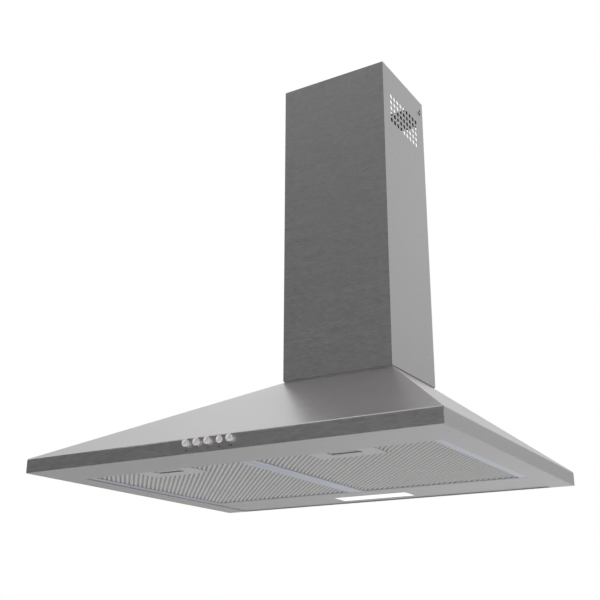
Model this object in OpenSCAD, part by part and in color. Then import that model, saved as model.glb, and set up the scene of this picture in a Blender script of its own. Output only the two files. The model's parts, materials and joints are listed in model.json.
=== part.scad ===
// Chimney range hood, 60 cm wide, pyramid canopy, wall hung
// Millimetres. The wall is the plane y = 0, the front looks towards -y,
// the underside is z = 0 and x = 0 is the middle.

/* [Canopy] */
// Width of the hood
hood_w = 600; // [600:5:900]
// Depth of the hood from the wall to the front
hood_d = 472; // [465:1:520]
// Height of the flat band round the lower edge
band_h = 19; // [18.5:0.5:30]
// Height from the underside to the foot of the chimney
canopy_h = 168.5; // [165:0.5:220]
// Thickness of the stainless steel sheet
sheet_t = 0.8; // [0.6:0.1:1]
// Width of the flat rim round the canopy's top opening
rim_w = 9; // [6:1:12]
// Height of the upstand that the chimney slides over
upstand_h = 14; // [8:1:24]
// Height of the shadow line under the chimney
seam_gap = 0.8; // [0.4:0.1:1.2]

/* [Chimney] */
// Width of the chimney cover
chimney_w = 188; // [186:1:230]
// Depth of the chimney cover
chimney_d = 157; // [155:1:200]
// Height of the chimney cover
chimney_h = 522; // [420:1:700]
// Width of the edges folded in at the cover's back
back_fold_w = 12; // [8:1:20]
// Diameter of a vent hole
vent_d = 8.4; // [5:0.1:9]
// Distance between vent columns
vent_pitch_y = 12.1; // [10:0.1:13]
// Distance between vent rows
vent_pitch_z = 11.1; // [10:0.1:13]
// Number of vent columns
vent_cols = 9; // [5:1:10]
// Number of vent rows
vent_rows = 5; // [3:1:6]
// Distance from the wall to the middle of the vents
vent_y = 79.3; // [70:0.1:85]
// Distance from the chimney's top to the middle of the vents
vent_drop = 73.4; // [60:0.1:100]

/* [Wall bracket] */
// Thickness of the wall bracket's sheet
bracket_t = 1.5; // [1:0.1:2.5]
// Height of the bracket at its ends
bracket_h = 42; // [36:1:60]
// Height of the bracket's middle
bracket_mid_h = 18; // [12:1:24]
// Half width where the lower edge starts to rise
bracket_rise_out = 54; // [50:1:70]
// Half width where the lower edge has risen
bracket_rise_in = 33; // [20:1:40]
// Half distance between the bracket's wall holes
bracket_hole_x = 46; // [44:1:60]
// Diameter of the bracket's wall holes
bracket_hole_d = 5; // [4:0.5:6]
// Distance from the chimney's top to the screws and wall holes
screw_drop = 22.5; // [16:0.5:26]
// Distance from the wall to the cover's side screws
screw_y = 12; // [10:0.5:16]

/* [Back panel] */
// Distance between the two hanging keyholes
keyhole_span = 220; // [200:5:260]
// Height of the keyholes above the underside
keyhole_z = 116; // [100:1:125]
// Diameter of a keyhole's round end
keyhole_d = 10; // [8:0.5:12]
// Distance between the two lower fixing holes
fixing_span = 440; // [420:5:480]
// Height of the lower fixing holes
fixing_z = 36; // [30:1:50]
// Diameter of the lower fixing holes
fixing_d = 6; // [5:0.5:8]

/* [Underside] */
// Width of the flat margin behind the front band
front_margin = 77; // [70:1:90]
// Width of the flat margins at the sides
side_margin = 35; // [30:1:60]
// Depth of the lamp panel at the wall
lamp_panel_d = 95; // [85:1:110]
// Depth that the filters and the lamp panel are set back
recess = 1.2; // [0.8:0.1:2]
// Height of the lips along the sides of the opening
side_lip_h = 12; // [8:1:12]

/* [Filters] */
// Running gap round each filter
filter_gap = 0.6; // [0.5:0.1:1.2]
// Thickness of a filter
filter_h = 8; // [7.6:0.1:8.4]
// Visible width of a filter's side rails
rail_w = 12; // [8:1:16]
// Visible width of a filter's front and rear rails
end_rail_w = 3; // [2:0.5:4]
// Thickness of the filter's aluminium frame
skin_t = 0.8; // [0.6:0.1:1]
// Distance between the ribs of the mesh
rib_pitch = 6.2; // [6:0.1:9]
// Height of the ribs of the mesh
rib_h = 2.2; // [1.6:0.1:2.2]
// Thickness of one mesh layer
mesh_t = 0.6; // [0.5:0.1:0.8]
// Angle of the ribs to the depth of the hood, in degrees
rib_angle = 41; // [30:1:60]

/* [Latches] */
// Width of a latch housing
latch_w = 88; // [80:1:100]
// Depth of a latch housing
latch_d = 40; // [38:1:46]
// Width of the finger slot
slot_w = 42; // [36:1:46]
// Depth of the finger slot
slot_d = 19; // [17:1:22]
// Distance from the housing's front to the finger slot
slot_inset = 3.3; // [3:0.1:4]
// Width of the latch bolt
bolt_w = 13; // [10:1:16]

/* [Lamp] */
// Width of the lamp lens
lens_w = 120; // [100:1:140]
// Depth of the lamp lens
lens_d = 34; // [28:1:38]
// Distance from the wall to the middle of the lamp
lamp_y = 39; // [36:1:50]
// Height of the lamp housing
lamp_h = 14; // [12:0.5:15]

/* [Buttons] */
// Number of buttons
button_count = 5; // [5:1:5]
// Which button is pressed in, counted from the left
pressed = 4; // [1:1:5]
// Distance between buttons
button_pitch = 16; // [13:0.5:18]
// Diameter of a button
button_d = 9.5; // [8:0.1:10]
// Height of the buttons above the underside
button_z = 13; // [12.5:0.1:13.2]
// How far a button stands out of the band
button_out = 4.2; // [3.8:0.1:5]
// Travel of a button
button_travel = 3; // [2:0.1:3.4]

/* [Blower] */
// Radius of the fan wheel
wheel_r = 50; // [46:0.5:51]
// Length of the fan wheel
wheel_l = 88; // [80:1:92]
// Number of blades
blade_count = 30; // [20:1:36]
// Gap between the wheel and the scroll where it is tightest
cutoff_gap = 7; // [6:0.5:7.5]
// How much the scroll's radius grows along its sweep
scroll_growth = 12; // [8:0.5:12.5]
// Width of the scroll
scroll_w = 100; // [98:1:110]
// Thickness of the scroll's walls
scroll_t = 1.2; // [1:0.1:1.6]
// Distance from the wall to the fan's axis
fan_y = 74; // [73:0.5:76]
// Distance from the canopy's top down to the fan's axis
fan_drop = 76.5; // [74:0.5:80]
// Radius of the inlet holes
inlet_r = 41; // [38:0.5:42]

/* [Motor] */
// Radius of the motor can
motor_r = 28; // [26:0.5:29]
// Length of the motor can
motor_l = 50; // [46:1:52]
// Radius of the motor shaft
shaft_r = 4; // [3:0.5:5]
// Radius of the bearings
bearing_r = 8; // [7:0.5:9]
// Length of a bearing
bearing_l = 6; // [4:0.5:7]

/* [Outlet] */
// Radius of the duct collar
collar_r = 60; // [58:0.5:62]
// Height of the duct collar
collar_h = 45; // [40:1:60]
// Thickness of the collar's wall
collar_t = 1.8; // [1.5:0.1:2.5]
// Distance from the wall to the middle of the collar
collar_y = 80; // [76:1:84]
// Height of the adapter's slanted part
adapter_h = 33; // [25:1:45]
// Radius of the damper's rod
rod_r = 1.5; // [1.2:0.1:2]

/* [Electrics] */
// Width of the electrics box
box_w = 100; // [95:1:110]
// Depth of the electrics box
box_d = 45; // [44:1:60]
// Height of the electrics box
box_h = 50; // [48:1:56]
// Distance from the middle of the hood to the middle of the box
box_x = 150; // [145:1:155]
// Height of the box's lower face
box_z = 34; // [30:1:36]
// Diameter of the switch lead
lead_d = 5; // [4:0.5:6]
// Radius of the bore for the mains cord
cord_r = 4; // [3.5:0.1:4.5]

/* [Fits] */
// Gap between sheets that are welded or screwed together
seam_fit = 0.1; // [0.05:0.05:0.2]
// Gap where a moving piece rests or slides
slide_fit = 0.3; // [0.2:0.05:0.4]
// Running clearance round shafts and pins
pin_fit = 0.06; // [0.03:0.01:0.1]

/* [Hidden] */

$fn = 48;
over = 1; // overrun of every cut

// canopy
rise = canopy_h - band_h;
run_x = (hood_w - chimney_w) / 2;
run_y = hood_d - chimney_d;
inset_x = sheet_t * sqrt(run_x * run_x + rise * rise) / rise; // sheet measured level, side slopes
inset_y = sheet_t * sqrt(run_y * run_y + rise * rise) / rise; // sheet measured level, front slope
cut_z = canopy_h - seam_gap;
rim_z = cut_z - sheet_t;
weld_flange_h = 6;
top_z = canopy_h + chimney_h;

// chimney and its seat
sleeve_fit = 0.5; // chimney over upstand
upstand_x = chimney_w / 2 - sheet_t - sleeve_fit;
upstand_y = chimney_d - sheet_t - sleeve_fit;
upstand_back = 1.5;
fold_drop = 50; // the folded back edges stop this far below the top
slot_hole_r = 1.8; // half width of the upright screw slots
slot_hole_h = 13;
screw_r = 1.6;
screw_head_r = 3.4;
screw_head_h = 2;
screw_l = 8;
bracket_x = chimney_w / 2 - sheet_t - slide_fit;
bracket_top_gap = 0.5;
ear_d = 24;
ear_top_gap = 5;
ear_h = 34;
keyhole_slot_r = 2.6;
keyhole_slot_h = 9;

// underside
open_x = hood_w / 2 - side_margin;
open_y = hood_d - front_margin;
hem_w = 10; // doubled edge along the front of the opening
panel_flange_h = 9;

// filters, in their own frame: x from the middle, y from the front edge, z from the lower face
filter_w = open_x - 1.5 * filter_gap;
filter_d = open_y - lamp_panel_d - 2 * filter_gap;
filter_x = (filter_gap + filter_w) / 2;
filter_front = -(open_y - filter_gap);
mesh_fit = 0.1;
tongue_w = 40;
tongue_l = 9;
tongue_share = 0.3; // of the filter's width, from the middle to a tongue
wave_shares = [[0, 0], [0.2, 0], [0.5, 1], [0.7, 1]]; // one rib: share of the pitch, share of the height

// latches, in the filter's frame
latch_front = end_rail_w + mesh_fit;
latch_wall = 1;
latch_h = filter_h - skin_t + 2 * mesh_fit;
roof_t = 0.8;
slide_t = 1.2;
slide_z = latch_h - roof_t - slide_fit - slide_t;
slide_w = 56;
slide_front = latch_front + latch_wall + slide_fit;
slide_d = 24;
guide_x = 23;
guide_w = 3;
finger_w = 38;
finger_t = 3;
finger_z = 0.7;
finger_y = latch_front + slot_inset + (slot_d - finger_t) / 2 - 1.2 * slide_fit;
bolt_fit = 0.4;
seat_w = 46;
seat_h = 2.6;
spring_x = 16;
spring_r = 1.3; // to the middle of the wire
wire_d = 0.5;
spring_turns = 6;
spring_steps = 8; // rings for each turn
wire_sides = 6;
spring_z = latch_h / 2 + wire_d;
spring_from = slide_front + slide_d + slide_fit + wire_d / 2;
spring_to = latch_front + latch_d - latch_wall - slide_fit - wire_d / 2;
spring_len = spring_to - spring_from;
spring_rings = spring_turns * spring_steps;
spring_line = [for (i = [0:spring_rings])
    let (a = i * 360 / spring_steps)
        [spring_r * cos(a), i / spring_rings * spring_len, spring_r * sin(a)]];
spring_gap = min([for (i = [0:spring_rings - spring_steps])
    norm(spring_line[i + spring_steps] - spring_line[i])]) - wire_d;
echo(str("least gap between the turns of a latch spring: ", spring_gap, " mm"));

// lamp
lens_fit = 0.5;
lens_t = 2;
lens_lip = 3;
lamp_wall = 1;
board_w = 112;
board_d = 14;
board_t = 1.2;
led_count = 6;
led_w = 3;
led_h = 1;
tab_w = 8;
tab_d = 14;
lamp_screw_r = 1.5;
lamp_screw_head_r = 2.8;
lamp_screw_head_h = 1.6;
lamp_half_x = lens_w / 2 + lens_fit + lens_lip + lamp_wall;
lamp_half_y = lens_d / 2 + lens_fit + lens_lip + lamp_wall;
lamp_z = recess + sheet_t;

// buttons
button_fit = 0.35;
button_l = 9.2;
button_chamfer = 0.7;
button_dish = 0.5;
stem_r = 2;
stem_l = 8;
bracket_plate_t = 1;
switch_gap = 2.2; // from a pressed button's back to the switch block
switch_h = 13;
switch_d = 20;
switch_side = 10; // block past the outer buttons
switch_tab_w = 6;
block_y = -(hood_d + button_out - button_l - button_travel - switch_gap);
block_x = (button_count - 1) / 2 * button_pitch + switch_side;

// blower
fan_z = canopy_h - fan_drop;
cutoff_angle = 60;
scroll_sweep = 240;
scroll_step = 10;
cutoff_r = wheel_r + cutoff_gap;
outlet_x = scroll_w / 2 - scroll_t;
outlet_front = cutoff_r + scroll_growth; // from the fan's axis forwards
outlet_back = cutoff_r * cos(cutoff_angle); // from the fan's axis towards the wall
plate_t = 1.2;
plate_x = upstand_x - sheet_t - sleeve_fit;
plate_y = upstand_y - sheet_t - sleeve_fit;
boss_r = 4;
boss_l = 10;
boss_angles = [0, -90, -150];
boss_screw_r = 1.4;
boss_head_r = 2.8;
boss_head_h = 2;
lug_x = scroll_w / 2 + boss_r;
lug_share = 0.36; // of the outlet's depth, from its middle to a lug
lug_h = 12;
plate_screw_r = 1.9;
plate_screw_head_r = 3.6;
plate_screw_head_h = 2.2;
plate_screw_l = 7;

// fan wheel and inlets
blade_t = 0.8;
blade_depth = 7;
blade_lean = 9; // degrees that a blade leans over its depth
ring_l = 2;
disc_t = 1.5;
disc_x = 6;
hub_r = 9;
hub_l = 16;
nut_r = 7.5;
nut_l = 4;
inlet_t = 1.5;
inlet_flange_w = 8;
inlet_in = 4;
inlet_flare = 3;

// motor, along x from its closed end on the fan's side
motor_t = 2;
motor_x = -8;
motor_gap = 0.5; // between rotor and stator
rotor_r = 16.8;
rotor_l = 30;
boss_ring_t = 3;
shaft_hole_fit = 1;
shaft_back = 4;
spider_arms = 3;
spider_t = 3;
spider_w = 8;
spider_ring_t = 3;
spider_ring_l = 9;

// outlet
flange_w = 12;
flange_t = 2;
adapter_z = canopy_h + plate_t;
collar_z = adapter_z + adapter_h;
ledge_w = 2.7;
ledge_h = 3;
flap_drop = 28; // from the collar's top down to the flaps' rod
flap_z = collar_z + collar_h - flap_drop;
flap_t = 1.2;
ledge_z = flap_z - flap_t / 2 - slide_fit;
flap_edge_gap = 1;
knuckle_r = 3;
knuckle_l = 16;
knuckle_gap = 1;
rod_end_gap = 0.5;
slice = 0.2; // thin slab that a blended shape starts from

// electrics
elec_wall = 1;
cover_lip = 6;
driver_w = 52;
driver_d = 28;
driver_h = 18;
term_w = 34;
term_d = 18;
term_h = 16;
term_count = 4;
term_hole_r = 1.5;
cap_w = 36;
cap_d = 16;
cap_h = 20;
part_gap = 3; // between the pieces in the box
gland_side = 22; // from the chimney's side to the gland's middle
gland_x = chimney_w / 2 - gland_side;
gland_y = 20;
gland_r = 8;
gland_flange_h = 3;
gland_body_r = 6;
gland_up = 8;
gland_down = 6;
lead_bend = 9;
lead_z = 16;
lead_side = 18; // from the hood's side to the lead
lead_front = 21; // from the hood's front to the lead
lead_y = 25; // from the wall to the lead
side_run_x = hood_w / 2 - lead_side;
front_run_y = hood_d - lead_front;
switch_lead_x = 160;
lamp_lead_x = 120;
lamp_lead_z = 9;
lamp_lead_d = 4;
motor_lead_x = 130;
motor_lead_up = 16;
motor_lead_side = 14; // from the fan's axis towards the wall
clip_l = 8;
clip_t = 2;
clip_shares = [0.12, 0.38, 0.62, 0.88]; // of the run along the side

steel = "#b9bbbd";
dark_steel = "#6f7174";
alloy = "#c3c8cf";
zinc = "#a7abae";
black = "#26282a";
white = "#f2f3f0";
grey = "#8f9294";
copper = "#b87a4b";

// half width of the pyramid's outer surface at a height
function half_w(z) = chimney_w / 2 + (canopy_h - z) * run_x / rise;
// depth of the pyramid's outer surface at a height
function depth(z) = chimney_d + (canopy_h - z) * run_y / rise;
// radius of the scroll, measured round from the cutoff
function scroll_r(a) = cutoff_r + scroll_growth * a / scroll_sweep;
function scroll_point(a, add) =
    (scroll_r(a) + add) * [cos(cutoff_angle - a), sin(cutoff_angle - a)];
function scroll_outline(add, top) = concat(
    [[outlet_back + add, top]],
    [for (a = [0:scroll_step:scroll_sweep]) scroll_point(a, add)],
    [[-outlet_front - add, top]]
);
// one blade as a thin strip that leans and bends with its radius
function blade_line(r, add) =
    (r * [cos(blade_turn(r)), sin(blade_turn(r))] + add * [-sin(blade_turn(r)), cos(blade_turn(r))]);
function blade_turn(r) = blade_lean * pow((r - wheel_r + blade_depth) / blade_depth, 2);

// box between its low and its high corner
module span_box(low, high) {
    translate(low)
        cube(high - low);
}

// drawn in y and z, pulled out along x
module along_x(x = 0) {
    translate([x, 0, 0])
        rotate([90, 0, 90])
            children();
}

module rod_x(x0, x1, r, y, z) {
    translate([x0, y, z])
        rotate([0, 90, 0])
            cylinder(r = r, h = x1 - x0);
}

module rod_y(y0, y1, r, x, z) {
    translate([x, y0, z])
        rotate([-90, 0, 0])
            cylinder(r = r, h = y1 - y0);
}

module rod_z(z0, z1, r, x, y) {
    translate([x, y, z0])
        cylinder(r = r, h = z1 - z0);
}

// screw with a round head, standing on z = 0 with its shank below
module screw(shank_r, shank_l, head_r, head_h) {
    rotate_extrude()
        polygon([
            [0, -shank_l], [shank_r, -shank_l], [shank_r, 0], [head_r, 0],
            [head_r, head_h / 2], [head_r * 0.8, head_h], [0, head_h]
        ]);
}

// solid with sloped front and sides and an upright back in the plane y = back
module pyramid(z0, z1, in_x, in_y, back) {
    polyhedron(
        points = [
            [-half_w(z0) + in_x, -depth(z0) + in_y, z0], [half_w(z0) - in_x, -depth(z0) + in_y, z0],
            [half_w(z0) - in_x, back, z0], [-half_w(z0) + in_x, back, z0],
            [-half_w(z1) + in_x, -depth(z1) + in_y, z1], [half_w(z1) - in_x, -depth(z1) + in_y, z1],
            [half_w(z1) - in_x, back, z1], [-half_w(z1) + in_x, back, z1]
        ],
        faces = [[0, 1, 2, 3], [4, 5, 1, 0], [7, 6, 5, 4], [5, 6, 2, 1], [6, 7, 3, 2], [7, 4, 0, 3]]
    );
}

// round lead with level or upright runs and round bends
module lead(points, d) {
    last = len(points) - 1;
    for (i = [0:last - 1]) {
        way = points[i + 1] - points[i];
        unit = way / norm(way);
        from = points[i] + (i > 0 ? lead_bend : 0) * unit;
        to = points[i + 1] - (i < last - 1 ? lead_bend : 0) * unit;
        turn = unit[2] < 0 ? 180 : acos(unit[2]);
        translate(from)
            rotate([0, turn, atan2(unit[1], unit[0])])
                cylinder(d = d, h = norm(to - from));
    }
    for (i = [1:last - 1]) {
        a = (points[i] - points[i - 1]) / norm(points[i] - points[i - 1]);
        b = (points[i + 1] - points[i]) / norm(points[i + 1] - points[i]);
        c = cross(a, b);
        m = points[i] + lead_bend * (b - a);
        multmatrix([
            [-b[0], a[0], c[0], m[0]], [-b[1], a[1], c[1], m[1]], [-b[2], a[2], c[2], m[2]], [0, 0, 0, 1]
        ])
            rotate_extrude(angle = 90)
                translate([lead_bend, 0])
                    circle(d = d);
    }
}

module canopy_shell() {
    color(steel)
        difference() {
            union() {
                span_box([-hood_w / 2, -hood_d, 0], [hood_w / 2, 0, band_h]);
                pyramid(band_h, cut_z, 0, 0, 0);
                span_box(
                    [-upstand_x - sleeve_fit, -upstand_y - sleeve_fit, rim_z],
                    [upstand_x + sleeve_fit, 0, canopy_h]
                );
            }
            span_box([-hood_w / 2 + sheet_t, -hood_d + sheet_t, -over], [hood_w / 2 - sheet_t, over, band_h]);
            pyramid(band_h, rim_z, inset_x, inset_y, over);
            span_box(
                [-upstand_x + rim_w, -upstand_y + rim_w, rim_z - over],
                [upstand_x - rim_w, -rim_w, canopy_h + over]
            );
            for (i = [0:button_count - 1])
                rod_y(
                    -hood_d - over, -hood_d + sheet_t + over,
                    button_d / 2 + button_fit, button_x(i), button_z
                );
            plate_screw_places()
                rod_z(rim_z - over, canopy_h + over, plate_screw_r, 0, 0);
        }
}

// welded on the canopy's rim, open at the wall, for the chimney to slide over
module canopy_collar() {
    color(steel)
        difference() {
            span_box([-upstand_x, -upstand_y, canopy_h], [upstand_x, -upstand_back, canopy_h + upstand_h]);
            span_box(
                [-upstand_x + sheet_t, -upstand_y + sheet_t, canopy_h - over],
                [upstand_x - sheet_t, over, canopy_h + upstand_h + over]
            );
        }
}

function button_x(i) = (i - (button_count - 1) / 2) * button_pitch;

module plate_screw_places() {
    for (x = [-1, 1], y = [-upstand_y + rim_w * 1.5, -rim_w * 2])
        translate([x * (plate_x + upstand_x - rim_w) / 2, y, 0])
            children();
}

module back_panel() {
    low = half_w(band_h) - inset_x - seam_fit;
    high = half_w(rim_z) - inset_x - seam_fit;
    color(zinc)
        difference() {
            rotate([90, 0, 0])
                linear_extrude(height = sheet_t)
                    polygon([
                        [-low, 0], [low, 0], [low, band_h], [high, rim_z - seam_fit],
                        [-high, rim_z - seam_fit], [-low, band_h]
                    ]);
            for (side = [-1, 1]) {
                rod_y(-sheet_t - over, over, fixing_d / 2, side * fixing_span / 2, fixing_z);
                rod_y(-sheet_t - over, over, keyhole_d / 2, side * keyhole_span / 2, keyhole_z);
                rod_y(
                    -sheet_t - over, over,
                    keyhole_slot_r, side * keyhole_span / 2, keyhole_z + keyhole_slot_h
                );
                translate([side * keyhole_span / 2 - keyhole_slot_r, -sheet_t - over, keyhole_z])
                    cube([2 * keyhole_slot_r, sheet_t + 2 * over, keyhole_slot_h]);
            }
        }
}

module underside_frame() {
    x = hood_w / 2 - sheet_t - seam_fit;
    y = hood_d - sheet_t - seam_fit;
    back = -sheet_t - seam_fit;
    color(steel)
        difference() {
            union() {
                span_box([-x, -y, 0], [x, back, sheet_t]);
                difference() {
                    span_box([-x, -y, 0], [x, back, weld_flange_h]);
                    span_box([-x + sheet_t, -y + sheet_t, -over], [x - sheet_t, over, weld_flange_h + over]);
                }
                span_box([-open_x, -open_y - hem_w, 0], [open_x, -open_y + over, 2 * sheet_t]);
                for (side = [-1, 1])
                    translate([side * (open_x + sheet_t / 2) - sheet_t / 2, -open_y - hem_w, 0])
                        cube([sheet_t, open_y + hem_w + back, side_lip_h]);
            }
            span_box([-open_x, -open_y, -over], [open_x, over, side_lip_h + over]);
        }
}

module lamp_panel() {
    x = open_x - seam_fit;
    back = -sheet_t - seam_fit;
    color(steel)
        difference() {
            union() {
                span_box([-x, -lamp_panel_d, recess], [x, back, recess + sheet_t]);
                span_box([-x, back - sheet_t, recess], [x, back, recess + panel_flange_h]);
                for (side = [-1, 1])
                    translate([
                        side * (x - sheet_t / 2) - sheet_t / 2,
                        -lamp_panel_d + tongue_l + hem_w,
                        recess
                    ])
                        cube([sheet_t, lamp_panel_d - tongue_l - hem_w + back, panel_flange_h]);
            }
            translate([-lens_w / 2 - lens_fit, -lamp_y - lens_d / 2 - lens_fit, recess - over])
                cube([lens_w + 2 * lens_fit, lens_d + 2 * lens_fit, sheet_t + 2 * over]);
            lamp_screw_places()
                rod_z(recess - over, recess + sheet_t + over, lamp_screw_r + seam_fit, 0, 0);
        }
}

module chimney_cover() {
    x = chimney_w / 2;
    color(steel)
        difference() {
            union() {
                difference() {
                    span_box([-x, -chimney_d, canopy_h], [x, 0, top_z]);
                    span_box(
                        [-x + sheet_t, -chimney_d + sheet_t, canopy_h - over],
                        [x - sheet_t, over, top_z + over]
                    );
                }
                for (side = [-1, 1])
                    translate([side * (x - back_fold_w / 2) - back_fold_w / 2, -sheet_t, canopy_h])
                        cube([back_fold_w, sheet_t, chimney_h - fold_drop]);
            }
            for (i = [0:vent_cols - 1], j = [0:vent_rows - 1])
                rod_x(
                    -x - over, x + over, vent_d / 2,
                    -vent_y + (i - (vent_cols - 1) / 2) * vent_pitch_y,
                    top_z - vent_drop + (j - (vent_rows - 1) / 2) * vent_pitch_z
                );
            for (z = [-1, 1])
                rod_x(
                    -x - over, x + over, slot_hole_r, -screw_y,
                    top_z - screw_drop + z * (slot_hole_h / 2 - slot_hole_r)
                );
            translate([-x - over, -screw_y - slot_hole_r, top_z - screw_drop - slot_hole_h / 2 + slot_hole_r])
                cube([chimney_w + 2 * over, 2 * slot_hole_r, slot_hole_h - 2 * slot_hole_r]);
        }
}

module chimney_bracket() {
    top = top_z - bracket_top_gap;
    low = top_z - bracket_h;
    mid = top_z - bracket_mid_h;
    color(black)
        difference() {
            union() {
                rotate([90, 0, 0])
                    linear_extrude(height = bracket_t)
                        polygon([
                            [-bracket_x, low], [-bracket_rise_out, low], [-bracket_rise_in, mid],
                            [bracket_rise_in, mid], [bracket_rise_out, low], [bracket_x, low],
                            [bracket_x, top], [-bracket_x, top]
                        ]);
                for (side = [-1, 1])
                    translate([
                        side * (bracket_x - bracket_t / 2) - bracket_t / 2,
                        -ear_d,
                        top_z - ear_top_gap - ear_h
                    ])
                        cube([bracket_t, ear_d, ear_h]);
            }
            for (side = [-1, 1])
                rod_y(-bracket_t - over, over, bracket_hole_d / 2, side * bracket_hole_x, top_z - screw_drop);
            rod_x(-bracket_x - over, bracket_x + over, screw_r + seam_fit, -screw_y, top_z - screw_drop);
        }
}

module cover_screws() {
    color(dark_steel)
        for (side = [-1, 1])
            translate([side * chimney_w / 2, -screw_y, top_z - screw_drop])
                rotate([0, side * 90, 0])
                    screw(screw_r, screw_l, screw_head_r, screw_head_h);
}

module blower_plate() {
    color(zinc)
        difference() {
            span_box([-plate_x, -plate_y, canopy_h], [plate_x, -upstand_back, canopy_h + plate_t]);
            span_box(
                [-outlet_x, -fan_y - outlet_front, canopy_h - over],
                [outlet_x, -fan_y + outlet_back, canopy_h + plate_t + over]
            );
            plate_screw_places()
                rod_z(canopy_h - over, canopy_h + plate_t + over, plate_screw_r + seam_fit, 0, 0);
            lug_places()
                rod_z(canopy_h - over, canopy_h + plate_t + over, boss_screw_r + seam_fit, 0, 0);
            rod_z(canopy_h - over, canopy_h + plate_t + over, gland_body_r + seam_fit, -gland_x, -gland_y);
        }
}

module plate_screws() {
    color(zinc)
        plate_screw_places()
            translate([0, 0, canopy_h + plate_t])
                screw(
                    plate_screw_r - seam_fit, plate_screw_l,
                    plate_screw_head_r - seam_fit, plate_screw_head_h
                );
}

// the four lugs beside the outlet that carry the blower
module lug_places() {
    depth_y = outlet_front + outlet_back;
    for (x = [-1, 1], y = [-1, 1])
        translate([x * lug_x, -fan_y + (outlet_back - outlet_front) / 2 + y * lug_share * depth_y, 0])
            children();
}

module scroll_half() {
    top = fan_drop;
    difference() {
        union() {
            translate([0, -fan_y, fan_z])
                along_x()
                    linear_extrude(height = scroll_w / 2)
                        polygon(scroll_outline(scroll_t, top));
            for (a = boss_angles)
                boss_place(a)
                    rod_x(0, boss_l, boss_r, 0, 0);
            intersection() {
                lug_places() {
                    rod_z(canopy_h - lug_h, canopy_h, boss_r, 0, 0);
                    span_box([-2 * boss_r, -boss_r, canopy_h - lug_h], [0, boss_r, canopy_h]);
                }
                span_box([scroll_w / 2 - scroll_t / 2, -hood_d, 0], [hood_w, 0, canopy_h]);
            }
        }
        translate([-over, -fan_y, fan_z])
            along_x()
                linear_extrude(height = outlet_x + over)
                    polygon(scroll_outline(0, top + over));
        rod_x(0, scroll_w / 2 + over, inlet_r, -fan_y, fan_z);
        for (a = boss_angles)
            boss_place(a)
                rod_x(-over, boss_l + over, boss_screw_r + seam_fit, 0, 0);
        lug_places()
            rod_z(canopy_h - lug_h - over, canopy_h + over, boss_screw_r + seam_fit, 0, 0);
    }
}

module boss_place(a) {
    r = scroll_r(cutoff_angle - a) + scroll_t + boss_r * 0.75;
    translate([0, -fan_y + r * cos(a), fan_z + r * sin(a)])
        children();
}

module scroll_left() {
    color(grey)
        mirror([1, 0, 0])
            scroll_half();
}

module scroll_right() {
    color(grey)
        scroll_half();
}

module scroll_screws() {
    color(zinc)
        for (a = boss_angles)
            boss_place(a)
                translate([boss_l, 0, 0])
                    rotate([0, 90, 0])
                        screw(boss_screw_r, 2 * boss_l, boss_head_r, boss_head_h);
}

// bell mouth round an inlet hole
module inlet_ring() {
    x = scroll_w / 2;
    r = inlet_r - 2 * slide_fit;
    translate([0, -fan_y, fan_z])
        rotate([0, 90, 0])
            rotate_extrude()
                polygon([
                    [r - inlet_flare, x - inlet_in], [r - inlet_flare + inlet_t, x - inlet_in],
                    [r, x], [inlet_r + inlet_flange_w, x],
                    [inlet_r + inlet_flange_w, x + inlet_t], [r, x + inlet_t],
                    [r - inlet_flare * 0.7, x + inlet_t * 0.4]
                ]);
}

module inlet_rings() {
    color(black) {
        inlet_ring();
        mirror([1, 0, 0])
            inlet_ring();
    }
}

module outlet_adapter() {
    front = -fan_y - outlet_front;
    back = -fan_y + outlet_back;
    color(black)
        difference() {
            union() {
                span_box(
                    [-outlet_x - flange_w, front - flange_w / 2, adapter_z],
                    [outlet_x + flange_w, back + flange_w / 2, adapter_z + flange_t]
                );
                hull() {
                    span_box(
                        [-outlet_x - collar_t, front - collar_t, adapter_z + flange_t - slice],
                        [outlet_x + collar_t, back + collar_t, adapter_z + flange_t]
                    );
                    rod_z(collar_z - slice, collar_z, collar_r, 0, -collar_y);
                }
                rod_z(collar_z - slice / 2, collar_z + collar_h, collar_r, 0, -collar_y);
            }
            hull() {
                span_box([-outlet_x, front, adapter_z], [outlet_x, back, adapter_z + slice]);
                rod_z(collar_z, collar_z + slice, collar_r - collar_t, 0, -collar_y);
            }
            span_box([-outlet_x, front, adapter_z - over], [outlet_x, back, adapter_z + slice / 2]);
            difference() {
                rod_z(collar_z + slice / 2, collar_z + collar_h + over, collar_r - collar_t, 0, -collar_y);
                difference() {
                    rod_z(ledge_z - ledge_h, ledge_z, collar_r, 0, -collar_y);
                    rod_z(collar_z, collar_z + collar_h, collar_r - collar_t - ledge_w, 0, -collar_y);
                }
            }
            rod_x(-collar_r - over, collar_r + over, rod_r + pin_fit, -collar_y, flap_z);
            lug_places()
                rod_z(adapter_z - over, adapter_z + flange_t + over, boss_screw_r + seam_fit, 0, 0);
        }
}

module adapter_screws() {
    color(zinc)
        lug_places()
            translate([0, 0, adapter_z + flange_t])
                screw(boss_screw_r, flange_t + plate_t + lug_h, boss_head_r, boss_head_h);
}

module damper_rod() {
    color(zinc)
        rod_x(-collar_r + rod_end_gap, collar_r - rod_end_gap, rod_r, -collar_y, flap_z);
}

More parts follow.
